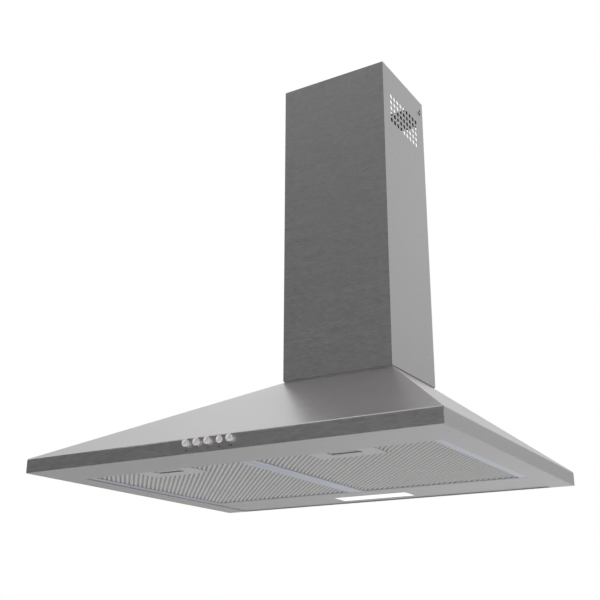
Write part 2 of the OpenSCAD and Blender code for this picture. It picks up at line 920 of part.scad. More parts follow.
// half disc towards -y with two knuckles on the rod
module flap() {
    r = collar_r - collar_t - flap_edge_gap;
    start = -2 * knuckle_l - 1.5 * knuckle_gap;
    difference() {
        union() {
            intersection() {
                rod_z(-flap_t / 2, flap_t / 2, r, 0, 0);
                span_box([-r, -r, -flap_t], [r, -knuckle_r - slide_fit, flap_t]);
            }
            for (i = [0, 2]) {
                x = start + i * (knuckle_l + knuckle_gap);
                rod_x(x, x + knuckle_l, knuckle_r, 0, 0);
                span_box([x, -knuckle_r - 4 * slide_fit, -flap_t / 2], [x + knuckle_l, 0, flap_t / 2]);
            }
        }
        rod_x(-r, r, rod_r + pin_fit, 0, 0);
    }
}

module damper_flap_front() {
    color(black)
        translate([0, -collar_y, flap_z])
            flap();
}

module damper_flap_rear() {
    color(black)
        translate([0, -collar_y, flap_z])
            rotate([0, 0, 180])
                flap();
}

// can with its closed end towards the fan wheel
module motor_can() {
    far = motor_x - motor_l;
    color(zinc)
        difference() {
            rod_x(far, motor_x, motor_r, -fan_y, fan_z);
            difference() {
                rod_x(far - over, motor_x - motor_t, motor_r - motor_t, -fan_y, fan_z);
                rod_x(
                    motor_x - motor_t - bearing_l, motor_x,
                    bearing_r + seam_fit + boss_ring_t, -fan_y, fan_z
                );
            }
            rod_x(
                motor_x - motor_t - bearing_l - over, motor_x - motor_t, bearing_r + seam_fit, -fan_y, fan_z
            );
            rod_x(far, motor_x + over, shaft_r + shaft_hole_fit, -fan_y, fan_z);
        }
}

module motor_end_cap() {
    far = motor_x - motor_l;
    color(zinc)
        difference() {
            union() {
                rod_x(far - motor_t, far, motor_r, -fan_y, fan_z);
                rod_x(far - motor_t, far + bearing_l, bearing_r + seam_fit + boss_ring_t, -fan_y, fan_z);
            }
            rod_x(far, far + bearing_l + over, bearing_r + seam_fit, -fan_y, fan_z);
            rod_x(far - motor_t - over, far + over, shaft_r + shaft_hole_fit, -fan_y, fan_z);
        }
}

module motor_stator() {
    mid = motor_x - motor_l / 2;
    color(copper)
        difference() {
            rod_x(mid - rotor_l / 2, mid + rotor_l / 2, motor_r - motor_t - seam_fit, -fan_y, fan_z);
            rod_x(mid - rotor_l, mid + rotor_l, rotor_r + motor_gap, -fan_y, fan_z);
        }
}

module motor_bearings() {
    far = motor_x - motor_l;
    color(steel)
        for (x = [far, motor_x - motor_t - bearing_l])
            difference() {
                rod_x(x, x + bearing_l, bearing_r, -fan_y, fan_z);
                rod_x(x - over, x + bearing_l + over, shaft_r + pin_fit, -fan_y, fan_z);
            }
}

module motor_spider() {
    seat = -scroll_w / 2 - inlet_t;
    arm_from = motor_r + seam_fit + spider_ring_t / 2;
    color(zinc)
        difference() {
            union() {
                rod_x(
                    seat - spider_ring_l, seat - spider_t / 2,
                    motor_r + seam_fit + spider_ring_t, -fan_y, fan_z
                );
                for (i = [0:spider_arms - 1])
                    translate([seat - spider_t, -fan_y, fan_z])
                        rotate([i * 360 / spider_arms + 90, 0, 0])
                            translate([0, arm_from, -spider_w / 2])
                                cube([spider_t, inlet_r + inlet_flange_w - seam_fit - arm_from, spider_w]);
            }
            rod_x(seat - spider_ring_l - over, seat + over, motor_r + seam_fit, -fan_y, fan_z);
        }
}

module motor_shaft() {
    color(steel)
        rod_x(motor_x - motor_l - motor_t - shaft_back, hub_l + nut_l + shaft_back, shaft_r, -fan_y, fan_z);
}

module motor_rotor() {
    mid = motor_x - motor_l / 2;
    color(grey)
        difference() {
            rod_x(mid - rotor_l / 2, mid + rotor_l / 2, rotor_r, -fan_y, fan_z);
            rod_x(mid - rotor_l, mid + rotor_l, shaft_r + pin_fit, -fan_y, fan_z);
        }
}

// two end rings, and a disc with a hub
module fan_wheel() {
    inner = wheel_r - blade_depth;
    color(zinc)
        translate([0, -fan_y, fan_z]) {
            for (x = [-wheel_l / 2, wheel_l / 2 - ring_l])
                difference() {
                    rod_x(x, x + ring_l, wheel_r, 0, 0);
                    rod_x(x - over, x + ring_l + over, inner, 0, 0);
                }
            difference() {
                union() {
                    rod_x(disc_x, disc_x + disc_t, inner, 0, 0);
                    rod_x(0, hub_l, hub_r, 0, 0);
                }
                rod_x(-over, hub_l + over, shaft_r + pin_fit, 0, 0);
            }
        }
}

// curved strips from ring to ring that pass the disc's edge
module fan_blades() {
    from = wheel_r - blade_depth + seam_fit;
    reach = blade_depth - 2 * seam_fit;
    color(zinc)
        translate([0, -fan_y, fan_z])
            along_x(-wheel_l / 2 + ring_l)
                for (i = [0:blade_count - 1])
                    linear_extrude(height = wheel_l - 2 * ring_l)
                        rotate(i * 360 / blade_count)
                            polygon(concat(
                                [for (s = [0:3]) blade_line(from + s / 3 * reach, blade_t / 2)],
                                [for (s = [3:-1:0]) blade_line(from + s / 3 * reach, -blade_t / 2)]
                            ));
}

module fan_nut() {
    color(steel)
        translate([hub_l, -fan_y, fan_z])
            rotate([0, 90, 0])
                difference() {
                    cylinder(r = nut_r, h = nut_l, $fn = 6);
                    translate([0, 0, -over])
                        cylinder(r = shaft_r + pin_fit, h = nut_l + 2 * over);
                }
}

module electrics_box() {
    back = -sheet_t;
    color(zinc)
        difference() {
            span_box([-box_x - box_w / 2, back - box_d, box_z], [-box_x + box_w / 2, back, box_z + box_h]);
            span_box(
                [-box_x - box_w / 2 + elec_wall, back - box_d - over, box_z + elec_wall],
                [-box_x + box_w / 2 - elec_wall, back - elec_wall, box_z + box_h - elec_wall]
            );
            rod_z(box_z - over, box_z + elec_wall + over, lead_d / 2 + seam_fit, -switch_lead_x, -lead_y);
            rod_z(box_z - over, box_z + elec_wall + over, lamp_lead_d / 2 + seam_fit, -lamp_lead_x, -lamp_y);
            rod_z(
                box_z + box_h - 2 * elec_wall, box_z + box_h + over,
                lamp_lead_d / 2 + seam_fit, -motor_lead_x, -lead_y
            );
        }
}

module electrics_cover() {
    front = -sheet_t - box_d;
    color(zinc) {
        difference() {
            span_box(
                [-box_x - box_w / 2, front - elec_wall, box_z],
                [-box_x + box_w / 2, front + cover_lip, box_z + box_h]
            );
            span_box(
                [-box_x - box_w / 2 - over, front, box_z - over],
                [-box_x + box_w / 2 + over, front + cover_lip + over, box_z + elec_wall + seam_fit]
            );
            span_box(
                [-box_x - box_w / 2 - over, front, box_z + box_h - elec_wall - seam_fit],
                [-box_x + box_w / 2 + over, front + cover_lip + over, box_z + box_h + over]
            );
            for (side = [-1, 1])
                translate([-box_x + side * box_w / 2 - elec_wall - seam_fit, front, box_z - over])
                    cube([2 * (elec_wall + seam_fit), cover_lip + over, box_h + 2 * over]);
            span_box(
                [-box_x - box_w / 2 + 2 * elec_wall + seam_fit, front, box_z + 2 * elec_wall + seam_fit],
                [
                    -box_x + box_w / 2 - 2 * elec_wall - seam_fit,
                    front + cover_lip + over,
                    box_z + box_h - 2 * elec_wall - seam_fit
                ]
            );
        }
    }
}

module in_box(dx, dz) {
    translate([
        -box_x - box_w / 2 + elec_wall + part_gap + dx,
        -sheet_t - elec_wall,
        box_z + elec_wall + part_gap + dz
    ])
        children();
}

module led_driver() {
    color(black)
        in_box(0, 0)
            translate([0, -driver_d, 0])
                cube([driver_w, driver_d, driver_h]);
}

module capacitor() {
    color(white)
        in_box(0, driver_h + part_gap)
            translate([0, -cap_d, 0])
                cube([cap_w, cap_d, cap_h]);
}

module terminal_block() {
    step = term_w / term_count;
    color(white)
        in_box(box_w - 2 * (elec_wall + part_gap) - term_w, driver_h)
            difference() {
                translate([0, -term_d, 0])
                    cube([term_w, term_d, term_h]);
                for (i = [0:term_count - 1])
                    rod_y(-term_d - over, -term_d / 2, term_hole_r, (i + 1 / 2) * step, term_h / 2);
            }
}

// bore for the mains cord, through the blower plate into the chimney
module cable_gland() {
    color(black)
        difference() {
            union() {
                rod_z(canopy_h - gland_down, canopy_h + plate_t + gland_up, gland_body_r, -gland_x, -gland_y);
                rod_z(canopy_h + plate_t, canopy_h + plate_t + gland_flange_h, gland_r, -gland_x, -gland_y);
                rod_z(canopy_h - gland_flange_h, canopy_h, gland_r, -gland_x, -gland_y);
            }
            rod_z(
                canopy_h - gland_down - over, canopy_h + plate_t + gland_up + over,
                cord_r, -gland_x, -gland_y
            );
        }
}

module switch_lead() {
    color(white)
        lead([
            [-block_x, -front_run_y, lead_z],
            [-side_run_x, -front_run_y, lead_z],
            [-side_run_x, -lead_y, lead_z],
            [-switch_lead_x, -lead_y, lead_z],
            [-switch_lead_x, -lead_y, box_z + elec_wall]
        ], lead_d);
}

// clips that stand on the margin and hold the switch lead
module lead_clips() {
    w = lead_d + 2 * clip_t;
    color(black)
        for (share = clip_shares)
            translate([-side_run_x, -front_run_y + share * (front_run_y - lead_y), 0])
                difference() {
                    span_box([-w / 2, -clip_l / 2, sheet_t], [w / 2, clip_l / 2, lead_z + w / 2]);
                    rod_y(-clip_l, clip_l, lead_d / 2 + seam_fit, 0, lead_z);
                }
}

module lamp_lead() {
    color(white)
        lead([
            [-lamp_lead_x, -lamp_y, box_z + elec_wall],
            [-lamp_lead_x, -lamp_y, lamp_lead_z],
            [-lamp_half_x, -lamp_y, lamp_lead_z]
        ], lamp_lead_d);
}

module motor_lead() {
    z = box_z + box_h + motor_lead_up;
    color(white)
        lead([
            [-motor_lead_x, -lead_y, box_z + box_h - elec_wall],
            [-motor_lead_x, -lead_y, z],
            [-motor_lead_x, -fan_y + motor_lead_side, z],
            [motor_x - motor_l - motor_t, -fan_y + motor_lead_side, z]
        ], lamp_lead_d);
}

module lamp_screw_places() {
    for (side = [-1, 1])
        translate([side * (lamp_half_x + tab_w / 2), -lamp_y + tab_d, 0])
            children();
}

module lamp_housing() {
    color(white)
        difference() {
            union() {
                span_box(
                    [-lamp_half_x, -lamp_y - lamp_half_y, lamp_z],
                    [lamp_half_x, -lamp_y + lamp_half_y, lamp_z + lamp_h]
                );
                lamp_screw_places()
                    translate([-tab_w / 2 - over, -tab_w / 2, lamp_z])
                        cube([tab_w + 2 * over, tab_w, lamp_wall]);
            }
            span_box(
                [-lamp_half_x + lamp_wall, -lamp_y - lamp_half_y + lamp_wall, lamp_z - over],
                [lamp_half_x - lamp_wall, -lamp_y + lamp_half_y - lamp_wall, lamp_z + lamp_h - lamp_wall]
            );
            lamp_screw_places()
                rod_z(lamp_z - over, lamp_z + lamp_wall + over, lamp_screw_r + seam_fit, 0, 0);
        }
}

module led_board() {
    z = lamp_z + lamp_h - lamp_wall;
    color(white) {
        span_box([-board_w / 2, -lamp_y - board_d / 2, z - board_t], [board_w / 2, -lamp_y + board_d / 2, z]);
        for (i = [0:led_count - 1])
            translate([
                (i - (led_count - 1) / 2) * board_w / led_count - led_w / 2,
                -lamp_y - led_w / 2,
                z - board_t - led_h
            ])
                cube([led_w, led_w, led_h]);
    }
}

module lamp_lens() {
    color(white) {
        translate([-lens_w / 2, -lamp_y - lens_d / 2, recess])
            cube([lens_w, lens_d, sheet_t + lens_t]);
        translate([-lens_w / 2 - lens_lip, -lamp_y - lens_d / 2 - lens_lip, lamp_z])
            cube([lens_w + 2 * lens_lip, lens_d + 2 * lens_lip, lens_t]);
    }
}

module lamp_screws() {
    color(zinc)
        lamp_screw_places()
            translate([0, 0, lamp_z + lamp_wall])
                screw(lamp_screw_r, lamp_wall + sheet_t, lamp_screw_head_r, lamp_screw_head_h);
}

// plate behind the band with two arms that hold the switch block
module switch_bracket() {
    front = -hood_d + sheet_t;
    half = block_x + switch_tab_w;
    low = button_z - switch_h / 2;
    color(zinc)
        difference() {
            union() {
                span_box([-half, front, low], [half, front + bracket_plate_t, band_h - sheet_t]);
                for (side = [-1, 1])
                    translate([
                        side * (block_x + seam_fit + bracket_plate_t / 2) - bracket_plate_t / 2,
                        front,
                        low
                    ])
                        cube([bracket_plate_t, block_y + switch_d * 0.6 - front, band_h - sheet_t - low]);
            }
            for (i = [0:button_count - 1])
                rod_y(
                    front - over, front + bracket_plate_t + over,
                    button_d / 2 + button_fit, button_x(i), button_z
                );
            rod_x(-half - over, -block_x, lead_d / 2 + seam_fit, -front_run_y, lead_z);
        }
}

module switch_block() {
    color(black)
        difference() {
            span_box(
                [-block_x, block_y, button_z - switch_h / 2],
                [block_x, block_y + switch_d, button_z + switch_h / 2]
            );
            for (i = [0:button_count - 1])
                rod_y(block_y - over, block_y + switch_d * 0.7, stem_r + slide_fit, button_x(i), button_z);
        }
}

// push button with a dished face and a stem that slides in the switch block
module button(i) {
    r = button_d / 2;
    shift = i + 1 == pressed ? button_travel : 0;
    color(steel)
        translate([button_x(i), -hood_d - button_out + shift, button_z])
            rotate([-90, 0, 0])
                rotate_extrude()
                    polygon([
                        [0, button_dish], [r * 0.5, button_dish * 0.75], [r - button_chamfer, 0],
                        [r, button_chamfer], [r, button_l], [stem_r, button_l],
                        [stem_r, button_l + stem_l], [0, button_l + stem_l]
                    ]);
}

module in_filter(side) {
    translate([side * filter_x, filter_front, recess])
        children();
}

// channel frame with two tongues that rest on the lamp panel's edge
module filter_frame(side) {
    w = filter_w;
    color(alloy)
        in_filter(side) {
            difference() {
                span_box([-w / 2, 0, 0], [w / 2, filter_d, filter_h]);
                span_box(
                    [-w / 2 + skin_t, skin_t, skin_t],
                    [w / 2 - skin_t, filter_d - skin_t, filter_h - skin_t]
                );
                span_box(
                    [-w / 2 + rail_w, end_rail_w, -over],
                    [w / 2 - rail_w, filter_d - end_rail_w, filter_h + over]
                );
                span_box(
                    [-bolt_w / 2 - bolt_fit, -over, slide_z - bolt_fit],
                    [bolt_w / 2 + bolt_fit, skin_t + over, slide_z + slide_t + bolt_fit]
                );
            }
            for (x = [-1, 1])
                translate([x * tongue_share * w - tongue_w / 2, filter_d - skin_t / 2, sheet_t + slide_fit])
                    cube([tongue_w, tongue_l + skin_t / 2, skin_t]);
        }
}

// one ribbed layer of expanded mesh, between its low and high face
module ribbed_layer(turn) {
    w = filter_w - 2 * (skin_t + mesh_fit);
    d = filter_d - 2 * (skin_t + mesh_fit);
    reach = sqrt(w * w + d * d);
    half = ceil(reach / rib_pitch / 2);
    wave = [for (i = [-half:half], s = wave_shares) [(i + s[0]) * rib_pitch, s[1] * rib_h]];
    intersection() {
        span_box([-w / 2, skin_t + mesh_fit, 0], [w / 2, skin_t + mesh_fit + d, rib_h + mesh_t]);
        translate([0, filter_d / 2, 0])
            rotate([90, 0, turn])
                linear_extrude(height = reach, center = true)
                    polygon(concat(wave, [for (i = [len(wave) - 1:-1:0]) wave[i] + [0, mesh_t]]));
    }
}

module filter_mesh(side) {
    z = skin_t + mesh_fit;
    color(alloy)
        in_filter(side)
            difference() {
                union() {
                    translate([0, 0, z])
                        ribbed_layer(rib_angle);
                    translate([0, 0, filter_h - z - rib_h - mesh_t])
                        ribbed_layer(-rib_angle);
                }
                span_box(
                    [-latch_w / 2 - mesh_fit, -over, 0],
                    [latch_w / 2 + mesh_fit, latch_front + latch_d + mesh_fit, filter_h + over]
                );
            }
}

module latch_housing(side) {
    y0 = latch_front;
    y1 = latch_front + latch_d;
    color(alloy)
        in_filter(side)
            difference() {
                span_box([-latch_w / 2, y0, 0], [latch_w / 2, y1, latch_h]);
                difference() {
                    span_box(
                        [-latch_w / 2 + latch_wall, y0 + latch_wall, latch_wall],
                        [latch_w / 2 - latch_wall, y1 - latch_wall, latch_h - roof_t]
                    );
                    for (x = [-guide_x - guide_w, guide_x])
                        translate([x, y0, 0])
                            cube([guide_w, latch_d, slide_z - slide_fit]);
                }
                span_box(
                    [-slot_w / 2, y0 + slot_inset, -over],
                    [slot_w / 2, y0 + slot_inset + slot_d, latch_wall + over]
                );
                span_box(
                    [-bolt_w / 2 - bolt_fit, y0 - over, slide_z - bolt_fit],
                    [bolt_w / 2 + bolt_fit, y0 + latch_wall + over, latch_h - roof_t]
                );
            }
}

// slide with a finger bar in the slot, a bolt in front and a seat for the springs
module latch_slide(side) {
    y1 = slide_front + slide_d;
    color(grey)
        in_filter(side) {
            span_box([-slide_w / 2, slide_front, slide_z], [slide_w / 2, y1, slide_z + slide_t]);
            span_box(
                [-bolt_w / 2, -filter_gap / 2, slide_z],
                [bolt_w / 2, slide_front + over, slide_z + slide_t]
            );
            span_box(
                [-finger_w / 2, finger_y, finger_z],
                [finger_w / 2, finger_y + finger_t, slide_z + slide_t / 2]
            );
            span_box(
                [-seat_w / 2 + guide_w, y1 - slide_t, slide_z - seat_h],
                [seat_w / 2 - guide_w, y1, slide_z + slide_t / 2]
            );
        }
}

// round wire wound along y, as one tube
module spring() {
    points = [for (i = [0:spring_rings], j = [0:wire_sides - 1])
        let (a = i * 360 / spring_steps, b = j * 360 / wire_sides)
            spring_line[i] + wire_d / 2 * [cos(b) * cos(a), sin(b), cos(b) * sin(a)]];
    sides = [for (i = [0:spring_rings - 1], j = [0:wire_sides - 1])
        let (k = (j + 1) % wire_sides, p = i * wire_sides, q = p + wire_sides)
            each [[p + j, q + j, q + k], [p + j, q + k, p + k]]];
    ends = [
        [for (j = [0:wire_sides - 1]) j],
        [for (j = [wire_sides - 1:-1:0]) spring_rings * wire_sides + j]
    ];
    polyhedron(points = points, faces = concat(sides, ends));
}

module latch_springs(side) {
    color(steel)
        in_filter(side)
            for (x = [-spring_x, spring_x])
                translate([x, spring_from, spring_z])
                    spring();
}

canopy_shell();
canopy_collar();
back_panel();
underside_frame();
lamp_panel();
chimney_cover();
chimney_bracket();
cover_screws();
blower_plate();
plate_screws();
scroll_left();
scroll_right();
scroll_screws();
inlet_rings();
outlet_adapter();
adapter_screws();
damper_rod();
damper_flap_front();
damper_flap_rear();
motor_can();
motor_end_cap();
motor_stator();
motor_spider();
motor_bearings();
motor_shaft();
motor_rotor();
fan_wheel();
fan_blades();
fan_nut();
electrics_box();
electrics_cover();
terminal_block();
led_driver();
capacitor();
cable_gland();
switch_lead();
lead_clips();
lamp_lead();
motor_lead();
lamp_housing();
led_board();
lamp_lens();
lamp_screws();
switch_bracket();
switch_block();
button(0);  // button_1
button(1);  // button_2
button(2);  // button_3
button(3);  // button_4
button(4);  // button_5
filter_frame(-1);  // filter_frame_left
filter_frame(1);  // filter_frame_right
filter_mesh(-1);  // filter_mesh_left
filter_mesh(1);  // filter_mesh_right
latch_housing(-1);  // latch_housing_left
latch_housing(1);  // latch_housing_right
latch_slide(-1);  // latch_slide_left
latch_slide(1);  // latch_slide_right
latch_springs(-1);  // latch_springs_left
latch_springs(1);  // latch_springs_right
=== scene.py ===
import json
import math

import bmesh
import bpy
from mathutils import Matrix, Vector


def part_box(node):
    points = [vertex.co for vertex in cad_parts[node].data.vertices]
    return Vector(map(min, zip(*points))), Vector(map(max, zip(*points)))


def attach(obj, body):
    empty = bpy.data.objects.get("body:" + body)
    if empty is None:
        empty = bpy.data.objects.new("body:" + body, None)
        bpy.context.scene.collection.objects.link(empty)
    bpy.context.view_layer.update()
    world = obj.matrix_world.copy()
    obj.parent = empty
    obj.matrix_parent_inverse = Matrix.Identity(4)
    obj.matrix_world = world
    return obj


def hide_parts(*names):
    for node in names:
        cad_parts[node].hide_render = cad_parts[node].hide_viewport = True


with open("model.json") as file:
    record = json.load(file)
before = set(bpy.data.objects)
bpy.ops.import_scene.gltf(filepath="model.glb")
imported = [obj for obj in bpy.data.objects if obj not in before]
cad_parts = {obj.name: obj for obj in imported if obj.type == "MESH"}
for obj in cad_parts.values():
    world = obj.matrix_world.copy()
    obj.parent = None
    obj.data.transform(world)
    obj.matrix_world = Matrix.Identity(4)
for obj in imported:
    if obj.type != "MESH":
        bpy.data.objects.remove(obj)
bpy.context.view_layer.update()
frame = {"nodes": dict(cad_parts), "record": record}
nodes = frame["nodes"]
mm = 0.001
print("frame loaded:", len(nodes), "nodes")

# the camera stands low in front, to the right, as the photographer did
camera = {
    "position": (0.6641, -1.3618, -0.2123),
    "azimuth": 31.14,
    "elevation": -20.02,
    "roll": 0.14,
    "lens": 56.54,
    "sensor": 36.0,
    "reach": 50,
}


def placeCamera():
    turn = math.radians(camera["azimuth"])
    tilt = math.radians(camera["elevation"])
    back = Vector((math.sin(turn) * math.cos(tilt), -math.cos(turn) * math.cos(tilt), math.sin(tilt)))
    right = Vector((math.cos(turn), math.sin(turn), 0))
    up = back.cross(right)
    stand = Matrix((right, up, back)).transposed() @ Matrix.Rotation(math.radians(camera["roll"]), 3, "Z")
    lens = bpy.data.cameras.new("camera")
    lens.lens = camera["lens"]
    lens.sensor_width = camera["sensor"]
    lens.clip_end = camera["reach"]
    holder = bpy.data.objects.new("camera", lens)
    holder.matrix_world = Matrix.Translation(camera["position"]) @ stand.to_4x4()
    bpy.context.scene.collection.objects.link(holder)
    bpy.context.scene.camera = holder


placeCamera()
print("camera placed")


def toLinear(colour):
    channels = [int(colour[i:i + 2], 16) / 255 for i in (1, 3, 5)]
    return tuple(c / 12.92 if c <= 0.04045 else ((c + 0.055) / 1.055) ** 2.4 for c in channels) + (1,)


# a setting with a capital or a number is an input, any other is a property of the node
def addNode(tree, kind, settings=None, links=None):
    node = tree.nodes.new(kind)
    for name, value in (settings or {}).items():
        if isinstance(name, int) or name[0].isupper():
            node.inputs[name].default_value = value
        else:
            setattr(node, name, value)
    for name, (source, output) in (links or {}).items():
        tree.links.new(source.outputs[output], node.inputs[name])
    return node


def startMaterial(name, settings):
    material = bpy.data.materials.new(name)
    material.use_nodes = True
    tree = material.node_tree
    tree.nodes.clear()
    shader = addNode(tree, "ShaderNodeBsdfPrincipled", settings)
    addNode(tree, "ShaderNodeOutputMaterial", links={"Surface": (shader, "BSDF")})
    place = addNode(tree, "ShaderNodeTexCoord")
    return material, tree, shader, place


# noise whose grains have the given size along x, y and z, in metres
def grains(tree, place, size, detail):
    spread = addNode(tree, "ShaderNodeMapping", {"Scale": tuple(1 / s for s in size)},
                     {"Vector": (place, "Object")})
    return addNode(tree, "ShaderNodeTexNoise", {"Scale": 1.0, "Detail": detail, "Roughness": 0.6},
                   {"Vector": (spread, "Vector")})


# most of a noise lies between these two values
noiseSpan = (0.25, 0.75)


# the colour swings between two shades, the roughness between two values, and the bump follows
def driveFinish(tree, shader, pattern, output, shades, rough, bump):
    shade = addNode(tree, "ShaderNodeMix", {"data_type": "RGBA", 6: toLinear(shades[0]), 7: toLinear(shades[1])},
                    {0: (pattern, output)})
    tree.links.new(shade.outputs[2], shader.inputs["Base Color"])
    spread = addNode(tree, "ShaderNodeMapRange", {
        "From Min": noiseSpan[0], "From Max": noiseSpan[1], "To Min": rough[0], "To Max": rough[1],
    }, {"Value": (pattern, output)})
    tree.links.new(spread.outputs["Result"], shader.inputs["Roughness"])
    lift = addNode(tree, "ShaderNodeBump", {"Strength": bump[0], "Distance": bump[1]},
                   {"Height": (pattern, output)})
    tree.links.new(lift.outputs["Normal"], shader.inputs["Normal"])


# 430 stainless sheet, brushed with a 240 grit belt: long level scratches that stretch the reflections
brushed = {
    "shades": ("#aba9aa", "#e5e3e4"),
    "fineWidth": 1.2 * mm,   # real scratches are 0.05 mm wide, drawn coarser so that they show
    "fineLength": 9 * mm,
    "broadWidth": 6 * mm,
    "broadLength": 90 * mm,
    "broadShare": 0.15,
    "rough": (0.28, 0.44),
    "bump": (0.08, 0.00003),
    "anisotropy": 0.55,
}


# the underside is seen so flat that its scratches are drawn coarser again
def brushedStainless(name, across, coarser=1):
    material, tree, shader, place = startMaterial(name, {
        "Metallic": 1.0, "Anisotropic": brushed["anisotropy"],
    })
    fine = [brushed["fineLength"] * coarser] * 3
    broad = [brushed["broadLength"]] * 3
    fine[across] = brushed["fineWidth"] * coarser
    broad[across] = brushed["broadWidth"]
    scratches = grains(tree, place, fine, 5.0)
    bands = grains(tree, place, broad, 2.0)
    both = addNode(tree, "ShaderNodeMix", {"data_type": "FLOAT", 0: brushed["broadShare"]},
                   {2: (scratches, "Fac"), 3: (bands, "Fac")})
    driveFinish(tree, shader, both, 0, brushed["shades"], brushed["rough"], brushed["bump"])
    along = addNode(tree, "ShaderNodeTangent", {"direction_type": "UV_MAP", "uv_map": "grain"})
    tree.links.new(along.outputs["Tangent"], shader.inputs["Tangent"])
    return material


# hot-dip galvanised sheet: frosty crystals about 8 mm across, each a little lighter or darker
def galvanisedSheet():
    material, tree, shader, place = startMaterial("galvanisedSheet", {"Metallic": 1.0})
    crystals = addNode(tree, "ShaderNodeTexVoronoi", {"Scale": 1 / (8 * mm), "feature": "F1"},
                       {"Vector": (place, "Object")})
    grey = addNode(tree, "ShaderNodeRGBToBW", links={"Color": (crystals, "Color")})
    driveFinish(tree, shader, grey, "Val", ("#a5abae", "#c4c8ca"), (0.34, 0.5), (0.05, 0.00002))
    return material


# zinc-plated steel, turned or pressed: fine even grain and a slight yellow cast
def zincPlated():
    material, tree, shader, place = startMaterial("zincPlated", {"Metallic": 1.0})
    turned = grains(tree, place, (0.4 * mm, 0.4 * mm, 0.4 * mm), 4.0)
    driveFinish(tree, shader, turned, "Fac", ("#97968f", "#c6c5bf"), (0.25, 0.42), (0.08, 0.00002))
    return material


# ABS, moulded in an etched tool: dull with a fine leathery grain
def mouldedAbs(name, shades, rough=(0.42, 0.58)):
    material, tree, shader, place = startMaterial(name, {"IOR": 1.54})
    etch = grains(tree, place, (0.7 * mm, 0.7 * mm, 0.7 * mm), 4.0)
    driveFinish(tree, shader, etch, "Fac", shades, rough, (0.15, 0.00004))
    return material


# silver lacquer over moulded ABS, as on most hood buttons: bright, with a fine metallic sparkle
def silverLacquer():
    material, tree, shader, place = startMaterial("silverLacquer", {"Metallic": 0.3, "Coat Weight": 0.5})
    flake = grains(tree, place, (0.3 * mm, 0.3 * mm, 0.3 * mm), 4.0)
    driveFinish(tree, shader, flake, "Fac", ("#f4f1ef", "#fdfbf9"), (0.15, 0.25), (0.05, 0.00002))
    return material


# black powder coat, baked on steel: satin, with a faint orange peel, kept near-black and dull partly as painted
# shade for the dark inside of the chimney seen through the vents
def blackCoatAndShade():
    material, tree, shader, place = startMaterial("blackCoatAndShade", {"IOR": 1.5, "Specular IOR Level": 0.2})
    peel = grains(tree, place, (1.5 * mm, 1.5 * mm, 1.5 * mm), 2.0)
    # the near-black shades are partly painted shade, standing in for the shaded inside of the chimney behind the
    # vents
    driveFinish(tree, shader, peel, "Fac", ("#0d0d0e", "#161617"), (0.4, 0.55), (0.2, 0.00005))
    return material


# bright-rolled aluminium strip: pale and cool, with faint lines along its length
def rolledAluminium():
    material, tree, shader, place = startMaterial("rolledAluminium", {"Metallic": 1.0})
    rolled = grains(tree, place, (2 * mm, 40 * mm, 2 * mm), 4.0)
    driveFinish(tree, shader, rolled, "Fac", ("#ccd1de", "#e0e4f0"), (0.26, 0.36), (0.04, 0.00002))
    return material


# expanded aluminium mesh: strands round small slits, pale on the ribs, with painted shade darkening the valleys
# between them and filling the slits, which are drawn as dark colour, not as holes
expanded = {
    "slitLength": 3.2 * mm,
    "slitWidth": 1.55 * mm,
    "ribPitch": 6.2 * mm,
    "valleyShadeShare": 0.75,
    # the dark shade is painted shade: it darkens the valleys and fills the slits
    "shades": ("#898989", "#eaeaea"),
    "rough": (0.34, 0.5),
    "bump": (0.5, 0.2 * mm),
    "slitShadeEdge": (-1.1, -0.5),   # where the painted shade of a slit ends and a strand begins, on a wave from -2 to 2
    "valleyShadeEdge": (-0.9, 0.4),       # where the painted shade of a valley ends and a rib begins, on a wave from -1 to 1
}


def expandedAluminium():
    material, tree, shader = startMaterial("expandedAluminium", {"Metallic": 1.0})[:3]
    sheet = addNode(tree, "ShaderNodeUVMap", {"uv_map": "strands"})
    parts = addNode(tree, "ShaderNodeSeparateXYZ", links={"Vector": (sheet, "UV")})
    waves = []
    for output, size in (("X", expanded["slitWidth"]), ("Y", expanded["slitLength"])):
        turned = addNode(tree, "ShaderNodeMath", {"operation": "MULTIPLY", 1: 2 * math.pi / size},
                         {0: (parts, output)})
        waves.append(addNode(tree, "ShaderNodeMath", {"operation": "COSINE"}, {0: (turned, 0)}))
    lattice = addNode(tree, "ShaderNodeMath", {"operation": "ADD"}, {0: (waves[0], 0), 1: (waves[1], 0)})
    gap, solid = expanded["slitShadeEdge"]
    slitShade = addNode(tree, "ShaderNodeMapRange", {"From Min": gap, "From Max": solid}, {"Value": (lattice, 0)})
    across = addNode(tree, "ShaderNodeMath", {"operation": "MULTIPLY", 1: 2 * math.pi / expanded["ribPitch"]},
                     {0: (parts, "X")})
    wave = addNode(tree, "ShaderNodeMath", {"operation": "COSINE"}, {0: (across, 0)})
    # the valleys between the ribs are painted darker as shade, and the slits are painted dark as the shade seen
    # through them
    valley, crest = expanded["valleyShadeEdge"]
    valleyShade = addNode(tree, "ShaderNodeMapRange", {"From Min": valley, "From Max": crest}, {"Value": (wave, 0)})
    both = addNode(tree, "ShaderNodeMix", {"data_type": "FLOAT", 0: expanded["valleyShadeShare"]},
                   {2: (slitShade, "Result"), 3: (valleyShade, "Result")})
    driveFinish(tree, shader, both, 0, expanded["shades"], expanded["rough"], expanded["bump"])
    return material


# opal polycarbonate, moulded and lit from behind: milky, nearly white
def opalLens():
    material, tree, shader, place = startMaterial("opalLens", {
        "IOR": 1.58, "Emission Strength": 0.7, "Emission Color": toLinear("#fffdf8"),
    })
    frost = grains(tree, place, (0.6 * mm, 0.6 * mm, 0.6 * mm), 3.0)
    driveFinish(tree, shader, frost, "Fac", ("#e6e6e2", "#f2f2ef"), (0.3, 0.4), (0.1, 0.00002))
    return material


